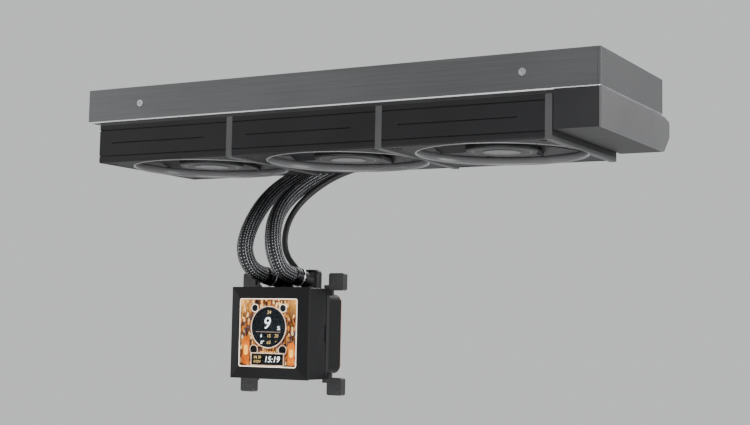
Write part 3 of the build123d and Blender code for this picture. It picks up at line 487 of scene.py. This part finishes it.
def ferrule_anodise(name, dark, light, gloss):
    f = Finish(name, metallic=0.9)
    grain = f.cloud(1300.0, 4.0)
    f.set("Base Color", f.tint(grain, (0.3, dark), (0.7, light)))
    f.set("Roughness", f.between(f.cloud(160.0), 0.3, 0.7, gloss, gloss + 0.14))
    f.relief(grain, 0.2, 0.00005)
    return f.material


aluminium_finish = brushed_aluminium()
bezel_finish = coated_bezel_metal()
bracket_finish = stamped_bracket_metal()
steel_finish = drawn_steel()
ferrule_finish = ferrule_anodise("dark_ferrule_anodise", (0.020, 0.020, 0.022), (0.040, 0.040, 0.043), 0.22)
# The collar's rim is given a light metal colour.
rim_finish = ferrule_anodise("light_ferrule_rim", (0.45, 0.45, 0.47), (0.60, 0.60, 0.62), 0.12)
print("metals:", [m.name for m in (aluminium_finish, bezel_finish, bracket_finish, steel_finish)])


# %% Turned and ground surfaces about an axis
def turned_disc_metal():
    """The hub badge: fine circles about each fan's axis, found by wrapping X to one fan's width."""
    f = Finish("turned_disc_metal", metallic=0.9)
    radius = f.fan_radius()
    circles = f.sum("SINE", f.sum("MULTIPLY", radius, 2 * pi / (0.35 * MM)))
    from_band = f.sum("ABSOLUTE", f.sum("SUBTRACT", radius, 7.5 * MM))
    band = f.between(from_band, 0.0, 1.6 * MM, 0.0, 1.0)
    dust = f.cloud(500.0, 4.0)
    shade = f.tint(dust, (0.3, (0.10, 0.10, 0.103)), (0.7, (0.15, 0.15, 0.153)))
    f.set("Base Color", f.mix(band, (0.16, 0.16, 0.165), shade))
    f.set("Roughness", f.between(circles, -1.0, 1.0, 0.26, 0.42))
    f.relief(circles, 0.2, 0.00004)
    return f.material


def copper_finish(name, light, dark, gloss):
    f = Finish(name, metallic=1.0)
    marks = f.cloud(1.0, 4.0, f.stretched((90.0, 900.0, 2200.0)))
    stain = f.cloud(45.0, 4.0)
    f.set("Base Color", f.mix(f.between(stain, 0.45, 0.75, 0.0, 0.5), light, dark))
    f.set("Roughness", f.between(marks, 0.3, 0.7, gloss, gloss + 0.16))
    f.relief(marks, 0.2, 0.00005)
    return f.material


badge_finish = turned_disc_metal()
copper_plate_finish = copper_finish("ground_copper", (0.72, 0.33, 0.20), (0.46, 0.19, 0.11), 0.20)
winding_finish = copper_finish("lacquered_winding", (0.55, 0.20, 0.08), (0.30, 0.10, 0.05), 0.30)
brass_finish = copper_finish("sintered_brass", (0.60, 0.44, 0.18), (0.42, 0.29, 0.11), 0.35)
print("copper-coloured finishes:", copper_plate_finish.name, winding_finish.name, brass_finish.name)

# %% [markdown]
# ## Plastics and paint
# Moulded plastic takes its texture from the spark-eroded steel of its mould, a fine even grain
# that scatters light, and it polishes where it is handled or rubbed. Paint on the radiator pools
# slightly, as orange peel. One function makes them all from two tones, a grain size and a gloss.


# %% Moulded and painted finishes
def moulded(name, dark, light, gloss, grain_scale, depth, coat=0.0, shine=0.3):
    f = Finish(name, ior=1.5, coat=coat, shine=shine)
    grain = f.cloud(grain_scale, 3.0)
    flow = f.cloud(18.0, 3.0)
    f.set("Base Color", f.tint(flow, (0.3, dark), (0.7, light)))
    f.set("Roughness", f.between(f.sum("ADD", grain, flow), 0.7, 1.3, gloss, gloss + 0.12))
    f.relief(grain, 0.35, depth)
    return f.material


def fan_plastic():
    """Matt charcoal outside. The ring round the blades has a polish from the mould, and its light grey there
    is a painted highlight.
    """
    f = Finish("charcoal_fan_plastic", ior=1.5, shine=0.2)
    grain = f.cloud(2200.0, 3.0)
    flow = f.cloud(14.0, 3.0)
    radius = f.fan_radius()
    # Inside the duct's ring the plastic is glossier, and its light grey colour is a painted highlight.
    polish_and_sheen = f.between(radius, DUCT_RADIUS + 0.3 * MM, DUCT_RADIUS + 0.5 * MM, 1.0, 0.0)
    matt = f.between(grain, 0.3, 0.7, 0.50, 0.64)
    shade = f.tint(flow, (0.3, (0.007, 0.007, 0.0075)), (0.7, (0.011, 0.011, 0.012)))
    f.set("Base Color", f.mix(polish_and_sheen, shade, (0.13, 0.13, 0.133)))
    f.set("Roughness", f.sum("SUBTRACT", matt, f.sum("MULTIPLY", polish_and_sheen, 0.30)))
    f.relief(grain, 0.3, 0.00006)
    return f.material


def strip_plastic():
    """The light strip. Where it faces the end housing only its lowest edge is light."""
    f = Finish("grey_strip_plastic", ior=1.5, shine=0.25)
    grain = f.cloud(1800.0, 3.0)
    flow = f.cloud(18.0, 3.0)
    side = f.between(f.fan_x(0.5 * MM), FAN_HALF - 0.25 * MM, FAN_HALF - 0.15 * MM, 0.0, 1.0)
    above_edge = f.between(f.axis(2), -0.0535, -0.0533, 0.0, 1.0)
    end_side = f.sum("MULTIPLY", side, above_edge)
    shade = f.tint(flow, (0.3, (0.045, 0.045, 0.046)), (0.7, (0.062, 0.062, 0.064)))
    f.set("Base Color", f.mix(end_side, shade, (0.009, 0.009, 0.010)))
    f.set("Roughness", f.between(grain, 0.3, 0.7, 0.44, 0.58))
    f.relief(grain, 0.35, 0.00006)
    return f.material


DEEP_BLACK = ((0.004, 0.004, 0.0045), (0.007, 0.007, 0.008))
SOFT_BLACK = ((0.014, 0.014, 0.015), (0.020, 0.020, 0.021))
fan_finish = fan_plastic()
rail_finish = strip_plastic()
blade_finish = moulded("satin_blade_plastic", *DEEP_BLACK, 0.40, 1500.0, 0.04 * MM, shine=0.25)
shell_finish = moulded("pump_case_plastic", *DEEP_BLACK, 0.40, 1900.0, 0.06 * MM, shine=0.16)
base_finish = moulded("pump_base_plastic", *DEEP_BLACK, 0.50, 1300.0, 0.10 * MM, shine=0.16)
elbow_finish = moulded("elbow_plastic", *DEEP_BLACK, 0.34, 1500.0, 0.06 * MM, shine=0.2)
housing_finish = moulded("housing_plastic", *SOFT_BLACK, 0.48, 1700.0, 0.08 * MM, shine=0.2)
# The mouth lip is glossy charcoal plastic, and its light grey colour is a painted highlight.
mouth_sheen_finish = moulded(
    "glossy_mouth_painted_sheen", (0.11, 0.11, 0.113), (0.15, 0.15, 0.154), 0.16, 1200.0, 0.03 * MM, shine=0.5
)
hub_rim_finish = moulded(
    "hub_rim_plastic", (0.012, 0.012, 0.013), (0.020, 0.020, 0.021), 0.26, 1200.0, 0.03 * MM
)
cap_finish = moulded("grey_cap_plastic", (0.075, 0.075, 0.077), (0.10, 0.10, 0.102), 0.42, 1800.0, 0.06 * MM)
back_finish = moulded(
    "pump_back_plastic", (0.010, 0.010, 0.011), (0.016, 0.016, 0.017), 0.36, 1900.0, 0.06 * MM, shine=0.2
)
grommet_finish = moulded(
    "grommet_rubber", (0.012, 0.012, 0.012), (0.020, 0.020, 0.020), 0.60, 900.0, 0.12 * MM
)
black_screw_finish = moulded(
    "oxide_screw", (0.020, 0.020, 0.021), (0.045, 0.045, 0.047), 0.26, 1500.0, 0.05 * MM
)
radiator_finish = moulded(
    "radiator_paint", (0.010, 0.010, 0.010), (0.018, 0.018, 0.018), 0.34, 520.0, 0.10 * MM, coat=0.15
)
print("plastics and paints:", len(bpy.data.materials), "finishes so far")


# %% Circuit board finish
def board_lacquer():
    f = Finish("board_lacquer", ior=1.5, coat=0.4)
    tracks = f.cells(260.0, f.stretched((1.0, 0.2, 1.0)), edges=True).outputs["Distance"]
    f.set("Base Color", f.tint(tracks, (0.02, (0.03, 0.16, 0.07)), (0.08, (0.008, 0.05, 0.022))))
    f.set("Roughness", f.between(f.cloud(300.0), 0.3, 0.7, 0.28, 0.42))
    f.relief(tracks, 0.3, 0.0001)
    return f.material


board_finish = board_lacquer()
print("board finish:", board_finish.name)

# %% [markdown]
# ## Pieces taken over from the CAD frame
# Sheet metal and mouldings are already the right size in the frame, but their edges are razor
# sharp, and no real edge is. A copy of the mesh is merged, its flat areas joined, and a bevel of
# a few tenths of a millimetre is put on every real corner, so each edge catches a thin light. A
# face with a large hole can't be one polygon, so a part with such a face keeps its own mesh.


# %% Round a part's edges
def edged(node, material, edge=0.25, body="cooler", steps=2, smooth=True):
    """A finished copy of one CAD part, with its corners rounded by edge millimetres."""
    shape = bmesh.new()
    shape.from_mesh(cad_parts[node].data)
    bmesh.ops.remove_doubles(shape, verts=shape.verts[:], dist=2e-6)
    bmesh.ops.dissolve_limit(shape, angle_limit=radians(1.0), verts=shape.verts[:], edges=shape.edges[:])
    piece = make_piece(node + "_finished", shape, material, body, [node], smooth)
    rounding = piece.modifiers.new("rounded_edges", "BEVEL")
    rounding.width = edge * MM
    rounding.segments = steps
    rounding.limit_method = "ANGLE"
    rounding.angle_limit = radians(32)
    rounding.harden_normals = smooth
    return piece


def painted(node, material):
    """A CAD part that shows little or nothing keeps its own mesh and only gets its finish."""
    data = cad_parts[node].data
    data.materials.clear()
    data.materials.append(material)


for node in ("side_rail_front", "side_rail_back", "left_tank", "right_tank"):
    edged(node, radiator_finish, 0.35)
for node in ("radiator_tubes", "header_plates", "tank_baffle"):
    painted(node, radiator_finish)
for node in ("front_cover", "end_cover"):
    edged(node, aluminium_finish, 0.18, smooth=False)
edged("cover_screws", steel_finish, 0.08)
edged("end_housing", housing_finish, 0.4)
edged("end_cap", cap_finish, 0.3)
for node in ("port_pipe_upper", "port_pipe_lower", "pump_shaft"):
    painted(node, steel_finish)
print("covers, rails, tanks and housing are finished")

# %% [markdown]
# ## Radiator fins
# Between every two flat tubes runs a strip of thin aluminium folded back and forth, which hands
# the water's heat to the air. A flat grid becomes the strip: every other pair of its columns is
# pushed across to the next tube. One strip is made, thickened to a tenth of a millimetre, and
# repeated for each gap.


# %% Fold and repeat the fins
FIN_ROWS = 13
FIN_FOLDS = 148
CORE_HALF_DEPTH = 0.0588
TUBE_HALF = 1.08 * MM


def folded_fins():
    low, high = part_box("radiator_fins")
    pitch = 2 * CORE_HALF_DEPTH / FIN_ROWS
    reach = pitch / 2 - TUBE_HALF
    columns = FIN_FOLDS * 4
    shape = bmesh.new()
    bmesh.ops.create_grid(shape, x_segments=columns, y_segments=1, size=0.5)
    shape.verts.ensure_lookup_table()
    step = (high.x - low.x) / columns
    for vert in shape.verts:
        column = round((vert.co.x + 0.5) * columns)
        side = -1 if column % 4 < 2 else 1
        height = high.z - 0.2 * MM if vert.co.y > 0 else low.z + 0.2 * MM
        vert.co = (low.x + column * step, side * reach, height)
    strip = shape.verts[:] + shape.edges[:] + shape.faces[:]
    bmesh.ops.translate(shape, verts=shape.verts[:], vec=(0, -(FIN_ROWS // 2) * pitch, 0))
    for row in range(1, FIN_ROWS):
        copy = bmesh.ops.duplicate(shape, geom=strip)["geom"]
        verts = [g for g in copy if isinstance(g, bmesh.types.BMVert)]
        bmesh.ops.translate(shape, verts=verts, vec=(0, row * pitch, 0))
    piece = make_piece(
        "folded_fins", shape, fin_finish, replaced=["radiator_fins"], smooth=False
    )
    wall = piece.modifiers.new("fin_thickness", "SOLIDIFY")
    wall.thickness = 0.12 * MM
    wall.offset = 0.0
    return piece


def louvred_fin():
    f = Finish("louvred_fin_paint", metallic=0.3)
    louvres = f.sum("SINE", f.sum("MULTIPLY", f.axis(2), 2 * pi / (1.2 * MM)))
    tone = f.cloud(300.0, 3.0)
    f.set("Base Color", f.tint(tone, (0.3, (0.014, 0.014, 0.014)), (0.7, (0.030, 0.030, 0.030))))
    f.set("Roughness", f.between(tone, 0.3, 0.7, 0.38, 0.5))
    f.relief(louvres, 0.6, 0.0002)
    return f.material


fin_finish = louvred_fin()
fins = folded_fins()
print("fin faces before thickness:", len(fins.data.polygons))

# %% [markdown]
# ## Fans
# A fan is a square moulding with a round duct, a hub with nine swept blades, and a polished lip
# where the air enters, whose light grey is a painted highlight. The duct's lip and the hub's badge
# are turned shapes: their half outline is drawn once and spun about the fan's axis, as on a lathe.


# %% Turn an outline on its axis
def turned(outline, closed=True, steps=96, place=None):
    """Spins an outline of (radius, height) millimetres about Z, then moves it to its place."""
    shape = bmesh.new()
    ring = [shape.verts.new((r * MM, 0, z * MM)) for r, z in outline]
    following = ring[1:] + ring[:1] if closed else ring[1:]
    for a, b in zip(ring, following):
        shape.edges.new((a, b))
    bmesh.ops.spin(shape, geom=shape.verts[:] + shape.edges[:], cent=(0, 0, 0), axis=(0, 0, 1),
                   dvec=(0, 0, 0), angle=2 * pi, steps=steps, use_merge=True, use_duplicate=False)
    bmesh.ops.remove_doubles(shape, verts=shape.verts[:], dist=1e-7)
    bmesh.ops.recalc_face_normals(shape, faces=shape.faces[:])
    if place is not None:
        bmesh.ops.transform(shape, matrix=place, verts=shape.verts[:])
    return shape


MOUTH = [(58.95, -54.2), (58.95, -54.9), (58.75, -55.35), (58.35, -55.55), (57.9, -55.4), (57.5, -54.9),
         (57.25, -54.0), (57.1, -52.4), (57.1, -50.4), (57.5, -50.0), (58.2, -50.0), (58.2, -54.2)]
BADGE = [(0.0, -53.75), (11.3, -53.75), (11.55, -53.85), (11.8, -54.0), (12.1, -54.1), (12.5, -54.05),
         (12.7, -53.85), (12.7, -53.4), (0.0, -53.4)]
HUB_RIM = [(19.2, -53.45), (19.45, -53.62), (19.9, -53.68), (20.35, -53.62), (20.6, -53.45), (20.6, -53.2),
           (19.2, -53.2)]

for number, centre in enumerate(FAN_CENTRES, start=1):
    fan, rotor = f"fan_{number}", f"fan_{number}_rotor"
    to_fan = Matrix.Translation((centre, 0, 0))
    edged(f"{fan}_frame", fan_finish, 0.3)
    edged(f"{fan}_rail", rail_finish, 0.3)
    edged(f"{fan}_impeller", blade_finish, 0.25, rotor)
    make_piece(f"{fan}_mouth", turned(MOUTH, place=to_fan), mouth_sheen_finish, sharp=50)
    make_piece(f"{fan}_badge", turned(BADGE, closed=False, place=to_fan), badge_finish, rotor,
               [f"{fan}_hub_disc"])
    make_piece(f"{fan}_hub_rim", turned(HUB_RIM, place=to_fan), hub_rim_finish, rotor)
    painted(f"{fan}_shaft", steel_finish)
    painted(f"{fan}_bearing", brass_finish)
    painted(f"{fan}_stator", winding_finish)
edged("fan_screws", black_screw_finish, 0.12)
print("fans finished:", len(FAN_CENTRES))

# %% [markdown]
# ## Ferrules and elbows
# Each hose end is pressed under a metal collar with crimp grooves, and the collar's rim by the
# elbow is light. The collars are turned shapes too, laid along the hose's own direction.


# %% Collars on the hose ends
ARM = Vector((-0.2696, -0.9403, 0.2079)).normalized()
COLLAR = [(4.7, 0.0), (6.5, 0.0), (6.8, 0.3), (6.8, 1.5), (6.45, 1.8), (6.45, 2.3), (6.8, 2.6), (6.8, 3.7),
          (6.45, 4.0), (6.45, 4.5), (6.8, 4.8), (6.8, 6.4), (6.6, 7.4), (6.3, 8.0), (4.7, 8.0)]
PUMP_COLLAR = [(4.7, 0.9), (6.8, 0.9)] + COLLAR[3:]
COLLAR_RIM = [(6.0, 0.0), (7.05, 0.0), (7.3, 0.22), (7.3, 0.78), (7.05, 1.0), (6.0, 1.0)]


def along(direction, start):
    """The turn and move that lay a turned shape's axis along a direction from a start point."""
    return Matrix.Translation(start) @ direction.to_track_quat("Z", "Y").to_matrix().to_4x4()


for name, z in (("tank_ferrule_upper", -0.014), ("tank_ferrule_lower", -0.0345)):
    place = along(Vector((-1, 0, 0)), (0.176, 0.0693, z))
    make_piece(name, turned(COLLAR, place=place, steps=64), ferrule_finish,
               replaced=["tank_ferrules"])
for side, x in (("left", -0.0846), ("right", -0.0594)):
    start = Vector((x, 0.0515, -0.1391)) + ARM * 0.0136
    place = along(ARM, start)
    make_piece(f"pump_ferrule_{side}", turned(PUMP_COLLAR, place=place, steps=64), ferrule_finish,
               replaced=["pump_ferrules"])
    make_piece(f"pump_ferrule_rim_{side}", turned(COLLAR_RIM, place=place, steps=64), rim_finish)
    edged(f"elbow_{side}", elbow_finish, 0.35)
edged("cable_grommets", grommet_finish, 0.4)
print("collars made: 4")

# %% [markdown]
# ## Pump block
# The pump's case is a dark box behind a mitred metal bezel, held to the board by a stamped plate
# with an ear at each corner. Behind it are the wet housing and the copper plate that lies on the
# processor. All of them are sized in the frame, so they only need their edges and their finishes.

# %% Case, bracket, base and cold plate
edged("screen_bezel", bezel_finish, 0.18)
edged("pump_shell", shell_finish, 0.2)
painted("shell_back", back_finish)
edged("mount_bracket", bracket_finish, 0.3)
edged("pump_base", base_finish, 0.4)
edged("cold_plate", copper_plate_finish, 0.2)
edged("plate_screws", steel_finish, 0.12)
painted("control_board", board_finish)
painted("pump_stator", winding_finish)
painted("pump_impeller", blade_finish)
print("pump block finished")

# %% [markdown]
# ## The screen
# The screen is a bright panel behind clear glass, with a pale rounded line where the light leaks
# round its edge. The picture on it is a plain gauge: a dark dial with a large number and a few
# small ones, a dark strip with a clock time, and a warm amber surround of blocks and tubes. Flat
# pictures could be image files, but thin plates with glowing finishes stay sharp at any distance.


# %% Glowing finishes for the screen
def glowing(name, dark, light, power, scale, stretch=(1.0, 1.0, 1.0)):
    """A lit area whose brightness drifts a little, as a backlight's does."""
    f = Finish(name, shine=0.05)
    drift = f.cloud(scale, 2.0, f.stretched(stretch))
    shade = f.tint(drift, (0.3, dark), (0.7, light))
    f.set("Base Color", shade)
    f.set("Emission Color", shade)
    f.set("Emission Strength", power)
    f.set("Roughness", f.between(drift, 0.3, 0.7, 0.35, 0.5))
    f.relief(drift, 0.1, 0.00005)
    return f.material


def amber_surround():
    """Warm machinery-like cells: a mix of amber, brown and near black, in upright blocks."""
    f = Finish("amber_surround", shine=0.05)
    blocks = f.cells(520.0, f.stretched((1.5, 1.0, 0.7)))
    fine = f.cells(1100.0, f.stretched((1.0, 1.0, 1.6)), edges=True).outputs["Distance"]
    pick = f.axis(0, blocks.outputs["Color"])
    shade = f.tint(
        pick,
        (0.10, (0.02, 0.006, 0.002)),
        (0.28, (0.22, 0.05, 0.006)),
        (0.44, (0.05, 0.018, 0.010)),
        (0.58, (0.07, 0.055, 0.08)),
        (0.72, (0.50, 0.14, 0.010)),
        (0.86, (0.80, 0.32, 0.035)),
        (0.97, (1.0, 0.74, 0.34)),
    )
    lines = f.between(fine, 0.02, 0.10, 0.35, 1.0)
    upper = f.between(f.axis(2), PUMP_Z - 0.02, PUMP_Z + 0.025, 0.55, 1.0)
    blocks_lit = f.mix(f.sum("MULTIPLY", lines, upper), (0.03, 0.012, 0.005), shade)
    from_middle = f.sum("ABSOLUTE", f.sum("SUBTRACT", f.axis(0), PUMP_X))
    corner = f.sum("MULTIPLY", f.between(from_middle, 0.012, 0.025, 0.0, 1.0),
                   f.between(f.axis(2), PUMP_Z + 0.010, PUMP_Z + 0.025, 0.0, 0.75))
    lit = f.mix(corner, blocks_lit, (0.95, 0.42, 0.06))
    f.set("Base Color", lit)
    f.set("Emission Color", lit)
    f.set("Emission Strength", 0.95)
    f.set("Roughness", f.between(pick, 0.0, 1.0, 0.35, 0.5))
    f.relief(fine, 0.1, 0.00005)
    return f.material


def clear_glass():
    """Glass with an anti-reflective coat, which mirrors little of the lamps."""
    f = Finish("clear_glass", ior=1.2)
    smear = f.cloud(60.0, 3.0)
    f.set("Base Color", (1.0, 1.0, 1.0, 1.0))
    f.set("Transmission Weight", 1.0)
    f.set("Roughness", f.between(smear, 0.35, 0.75, 0.0, 0.03))
    f.relief(smear, 0.02, 0.00002)
    return f.material


surround_finish = amber_surround()
border_glow = glowing("cream_edge_light", (0.80, 0.66, 0.50), (1.0, 0.88, 0.72), 1.0, 90.0)
dial_dark = glowing("dial_blue_black", (0.001, 0.002, 0.003), (0.003, 0.006, 0.009), 0.8, 60.0)
dial_rim = glowing("dial_rim_light", (0.42, 0.26, 0.18), (0.80, 0.62, 0.48), 0.9, 160.0)
figure_white = glowing("figure_white", (0.82, 0.90, 0.94), (0.95, 1.0, 1.0), 1.6, 200.0)
figure_amber = glowing("figure_amber", (0.62, 0.42, 0.14), (0.80, 0.58, 0.22), 0.9, 200.0)
tube_glow = glowing("amber_tube", (0.40, 0.065, 0.001), (0.72, 0.17, 0.003), 0.8, 60.0, (1.0, 1.0, 3.0))
tube_core = glowing("amber_tube_core", (0.95, 0.34, 0.02), (1.0, 0.50, 0.07), 1.1, 80.0)
strip_black = glowing("strip_black", (0.001, 0.001, 0.0012), (0.004, 0.004, 0.004), 0.8, 150.0)
glass_finish = clear_glass()
print("screen finishes ready")


# %% Flat shapes on the screen
def on_screen(shape, x, z, front):
    """Stands a flat shape, drawn in XY with its face to +Z, on the screen at a depth in metres."""
    stand = Matrix.Translation((PUMP_X + x * MM, front, PUMP_Z + z * MM)) @ Matrix.Rotation(pi / 2, 4, "X")
    bmesh.ops.transform(shape, matrix=stand, verts=shape.verts[:])
    return shape


def thick(shape, depth):
    """Gives a flat shape its depth in millimetres, behind its face."""
    grown = bmesh.ops.extrude_face_region(shape, geom=shape.faces[:])["geom"]
    verts = [g for g in grown if isinstance(g, bmesh.types.BMVert)]
    bmesh.ops.translate(shape, verts=verts, vec=(0, 0, -depth * MM))
    bmesh.ops.recalc_face_normals(shape, faces=shape.faces[:])
    return shape


def keep_rim(shape, rim):
    """Cuts the middle out of a flat shape and leaves a rim of this many millimetres."""
    middle = shape.faces[:]
    bmesh.ops.inset_region(
        shape, faces=middle, thickness=rim * MM, use_boundary=True, use_even_offset=True
    )
    bmesh.ops.delete(shape, geom=middle, context="FACES")


def tile(width, height, corner, rim=0.0):
    """A flat rounded rectangle in millimetres, or only its rim."""
    shape = bmesh.new()
    bmesh.ops.create_grid(shape, x_segments=1, y_segments=1, size=0.5)
    bmesh.ops.scale(shape, vec=(width * MM, height * MM, 1), verts=shape.verts[:])
    bmesh.ops.bevel(shape, geom=shape.verts[:], offset=corner * MM, offset_type="OFFSET", segments=6,
                    profile=0.5, affect="VERTICES", material=-1)
    if rim:
        keep_rim(shape, rim)
    return shape


def disc(radius, rim=0.0, steps=72):
    """A flat disc in millimetres, or only its rim."""
    shape = bmesh.new()
    bmesh.ops.create_circle(shape, segments=steps, radius=radius * MM, cap_ends=True)
    if rim:
        keep_rim(shape, rim)
    return shape


def figures(text, size, slant=0.2):
    """Figures as a flat mesh, centred on their own middle, size in millimetres."""
    letters = bpy.data.curves.new("figures", "FONT")
    letters.body = text
    letters.size = size * MM
    letters.shear = slant
    letters.align_x, letters.align_y = "CENTER", "CENTER"
    holder = bpy.data.objects.new("figures", letters)
    bpy.context.scene.collection.objects.link(holder)
    shape = bmesh.new()
    shape.from_mesh(bpy.data.meshes.new_from_object(holder))
    bpy.data.objects.remove(holder)
    bmesh.ops.remove_doubles(shape, verts=shape.verts[:], dist=1e-7)
    return shape


def show(name, shape, x, z, front, depth, material, replaced=()):
    return make_piece(name, on_screen(thick(shape, depth), x, z, front), material,
                      replaced=replaced, smooth=False)


print("a figure 9 has", len(figures("9", 11.0).faces), "faces")

# %% Build the screen
GLASS_FRONT = 6.45 * MM
EDGE_LIGHT_FRONT = 6.36 * MM
FIGURE_FRONT = 7.12 * MM
LINE_FRONT = 7.14 * MM
RIM_FRONT = 7.18 * MM
PLATE_FRONT = 7.22 * MM
KNOB_FRONT = 7.24 * MM
TUBE_FRONT = 7.26 * MM
painted("screen_panel", surround_finish)
show(
    "cover_glass", tile(50.6, 50.6, 1.5), 0, 0, GLASS_FRONT, 0.35, glass_finish,
    ["screen_glass"],
)
show("edge_light", tile(50.6, 50.6, 1.5, 0.65), 0, 0, EDGE_LIGHT_FRONT, 0.08, border_glow)
show("dial_plate", disc(15.0), 0, 4.2, PLATE_FRONT, 0.06, dial_dark)
show("dial_rim", disc(15.7, 0.75), 0, 4.2, RIM_FRONT, 0.10, dial_rim)
show("dial_number", figures("9", 12.5), -1.8, 6.6, FIGURE_FRONT, 0.04, figure_white)
show("dial_percent", figures("%", 4.2), 8.8, 3.4, FIGURE_FRONT, 0.04, figure_white)
show("dial_top", figures("24", 3.6), 0.2, 15.0, FIGURE_FRONT, 0.04, figure_amber)
show("dial_line", tile(22.0, 0.18, 0.05), 0, 0.6, LINE_FRONT, 0.04, dial_rim)
small_figures = (
    ("row_a_left", "6", -6.4, -2.3, figure_white),
    ("row_a_middle", "15", 0.4, -2.3, figure_amber),
    ("row_a_right", "20", 7.0, -2.3, figure_amber),
    ("row_b_left", "0°", -5.2, -7.2, figure_white),
    ("row_b_middle", "63", 0.4, -7.2, figure_amber),
    ("row_b_right", "°", 6.4, -7.2, figure_amber),
)
for name, text, x, z, glow in small_figures:
    show(f"dial_{name}", figures(text, 3.4), x, z, FIGURE_FRONT, 0.04, glow)
show("clock_strip", tile(27.6, 8.0, 0.4), -0.4, -19.6, PLATE_FRONT, 0.06, strip_black)
show("clock_rim", tile(29.4, 9.8, 0.8, 0.7), -0.4, -19.6, RIM_FRONT, 0.10, dial_rim)
show("clock_time", figures("15:19", 6.2), 3.6, -19.7, FIGURE_FRONT, 0.04, figure_white)
show("clock_small_top", figures("04 30", 2.8), -9.2, -18.2, FIGURE_FRONT, 0.04, figure_amber)
show("clock_small_low", figures("0:024", 2.8), -9.4, -21.3, FIGURE_FRONT, 0.04, figure_amber)

# %% Amber tubes and small blocks round the dial
for side, x, tall, low in (("left", -19.6, 21.0, -13.4), ("right", 20.4, 17.0, -15.4)):
    show(f"tube_{side}", tile(6.0, tall, 2.6), x, low, TUBE_FRONT, 0.05, tube_glow)
    show(f"tube_core_{side}", tile(3.6, tall * 0.36, 1.6), x, low + 0.5, PLATE_FRONT, 0.04, tube_core)
for side, x in (("left", -12.4), ("right", 12.4)):
    show(f"knob_{side}", disc(2.9), x, 18.2, KNOB_FRONT, 0.05, dial_dark)
    show(f"knob_rim_{side}", disc(3.2, 0.6), x, 18.2, PLATE_FRONT, 0.06, border_glow)
    show(f"foot_{side}", disc(3.4), x * 1.02, -12.6, TUBE_FRONT, 0.05, strip_black)
    show(f"foot_rim_{side}", disc(3.7, 0.5), x * 1.02, -12.6, KNOB_FRONT, 0.05, dial_rim)
for number in range(7):
    show(f"tick_{number}", tile(0.9, 1.6, 0.2), -6.0 + 2.0 * number, -14.4, KNOB_FRONT, 0.05, tube_core)
print("surround pieces done")

# %% [markdown]
# ## Studio
# A pale floor stands well below the hanging cooler, and large soft lamps stand in front, at the
# side, behind and low down, so the fans' undersides are not lost. The low lamp stands near the
# floor, where the screen's glass does not mirror it. A pale sky fills the rest.


# %% Floor
FLOOR_Z = -0.8
FLOOR_RADIUS = 6.0


def studio_floor():
    shape = bmesh.new()
    bmesh.ops.create_circle(shape, segments=96, radius=FLOOR_RADIUS, cap_ends=True)
    bmesh.ops.translate(shape, verts=shape.verts[:], vec=(0, 0, FLOOR_Z))
    data = bpy.data.meshes.new("studio_floor")
    shape.to_mesh(data)
    shape.free()
    f = Finish("studio_floor")
    f.set("Base Color", f.tint(f.cloud(3.0), (0.3, (0.80, 0.80, 0.80)), (0.7, (0.84, 0.84, 0.84))))
    f.set("Roughness", 0.7)
    data.materials.append(f.material)
    floor = bpy.data.objects.new("studio_floor", data)
    bpy.context.scene.collection.objects.link(floor)
    return floor


floor = studio_floor()
print(floor.name, "at", FLOOR_Z, "m")


# %% Lamps and sky
def soft_lamp(name, spot, aim, width, height, power):
    lamp = bpy.data.lights.new(name, "AREA")
    lamp.shape = "RECTANGLE"
    lamp.size, lamp.size_y, lamp.energy = width, height, power
    holder = bpy.data.objects.new(name, lamp)
    bpy.context.scene.collection.objects.link(holder)
    holder.location = spot
    holder.rotation_euler = (Vector(aim) - Vector(spot)).to_track_quat("-Z", "Y").to_euler()


soft_lamp("front_lamp", (1.1, -1.5, 0.75), (0.08, 0, -0.08), 1.2, 0.9, 22.0)
soft_lamp("right_lamp", (1.7, 0.5, 0.0), (0.18, 0.02, -0.04), 0.9, 1.1, 16.0)
soft_lamp("left_lamp", (-1.4, -0.9, 0.2), (-0.05, 0, -0.1), 0.6, 0.8, 5.0)
soft_lamp("back_lamp", (0.2, 1.5, 1.1), (0, 0, -0.05), 1.4, 0.8, 20.0)
soft_lamp("low_lamp", (0.15, -0.50, -0.74), (0.02, 0.0, -0.05), 0.9, 0.5, 9.0)
sky = bpy.data.worlds.new("pale_sky")
sky.use_nodes = True
sky.node_tree.nodes["Background"].inputs["Color"].default_value = (0.86, 0.87, 0.88, 1.0)
sky.node_tree.nodes["Background"].inputs["Strength"].default_value = 0.78
bpy.context.scene.world = sky
print("lamps:", len(bpy.data.lights))
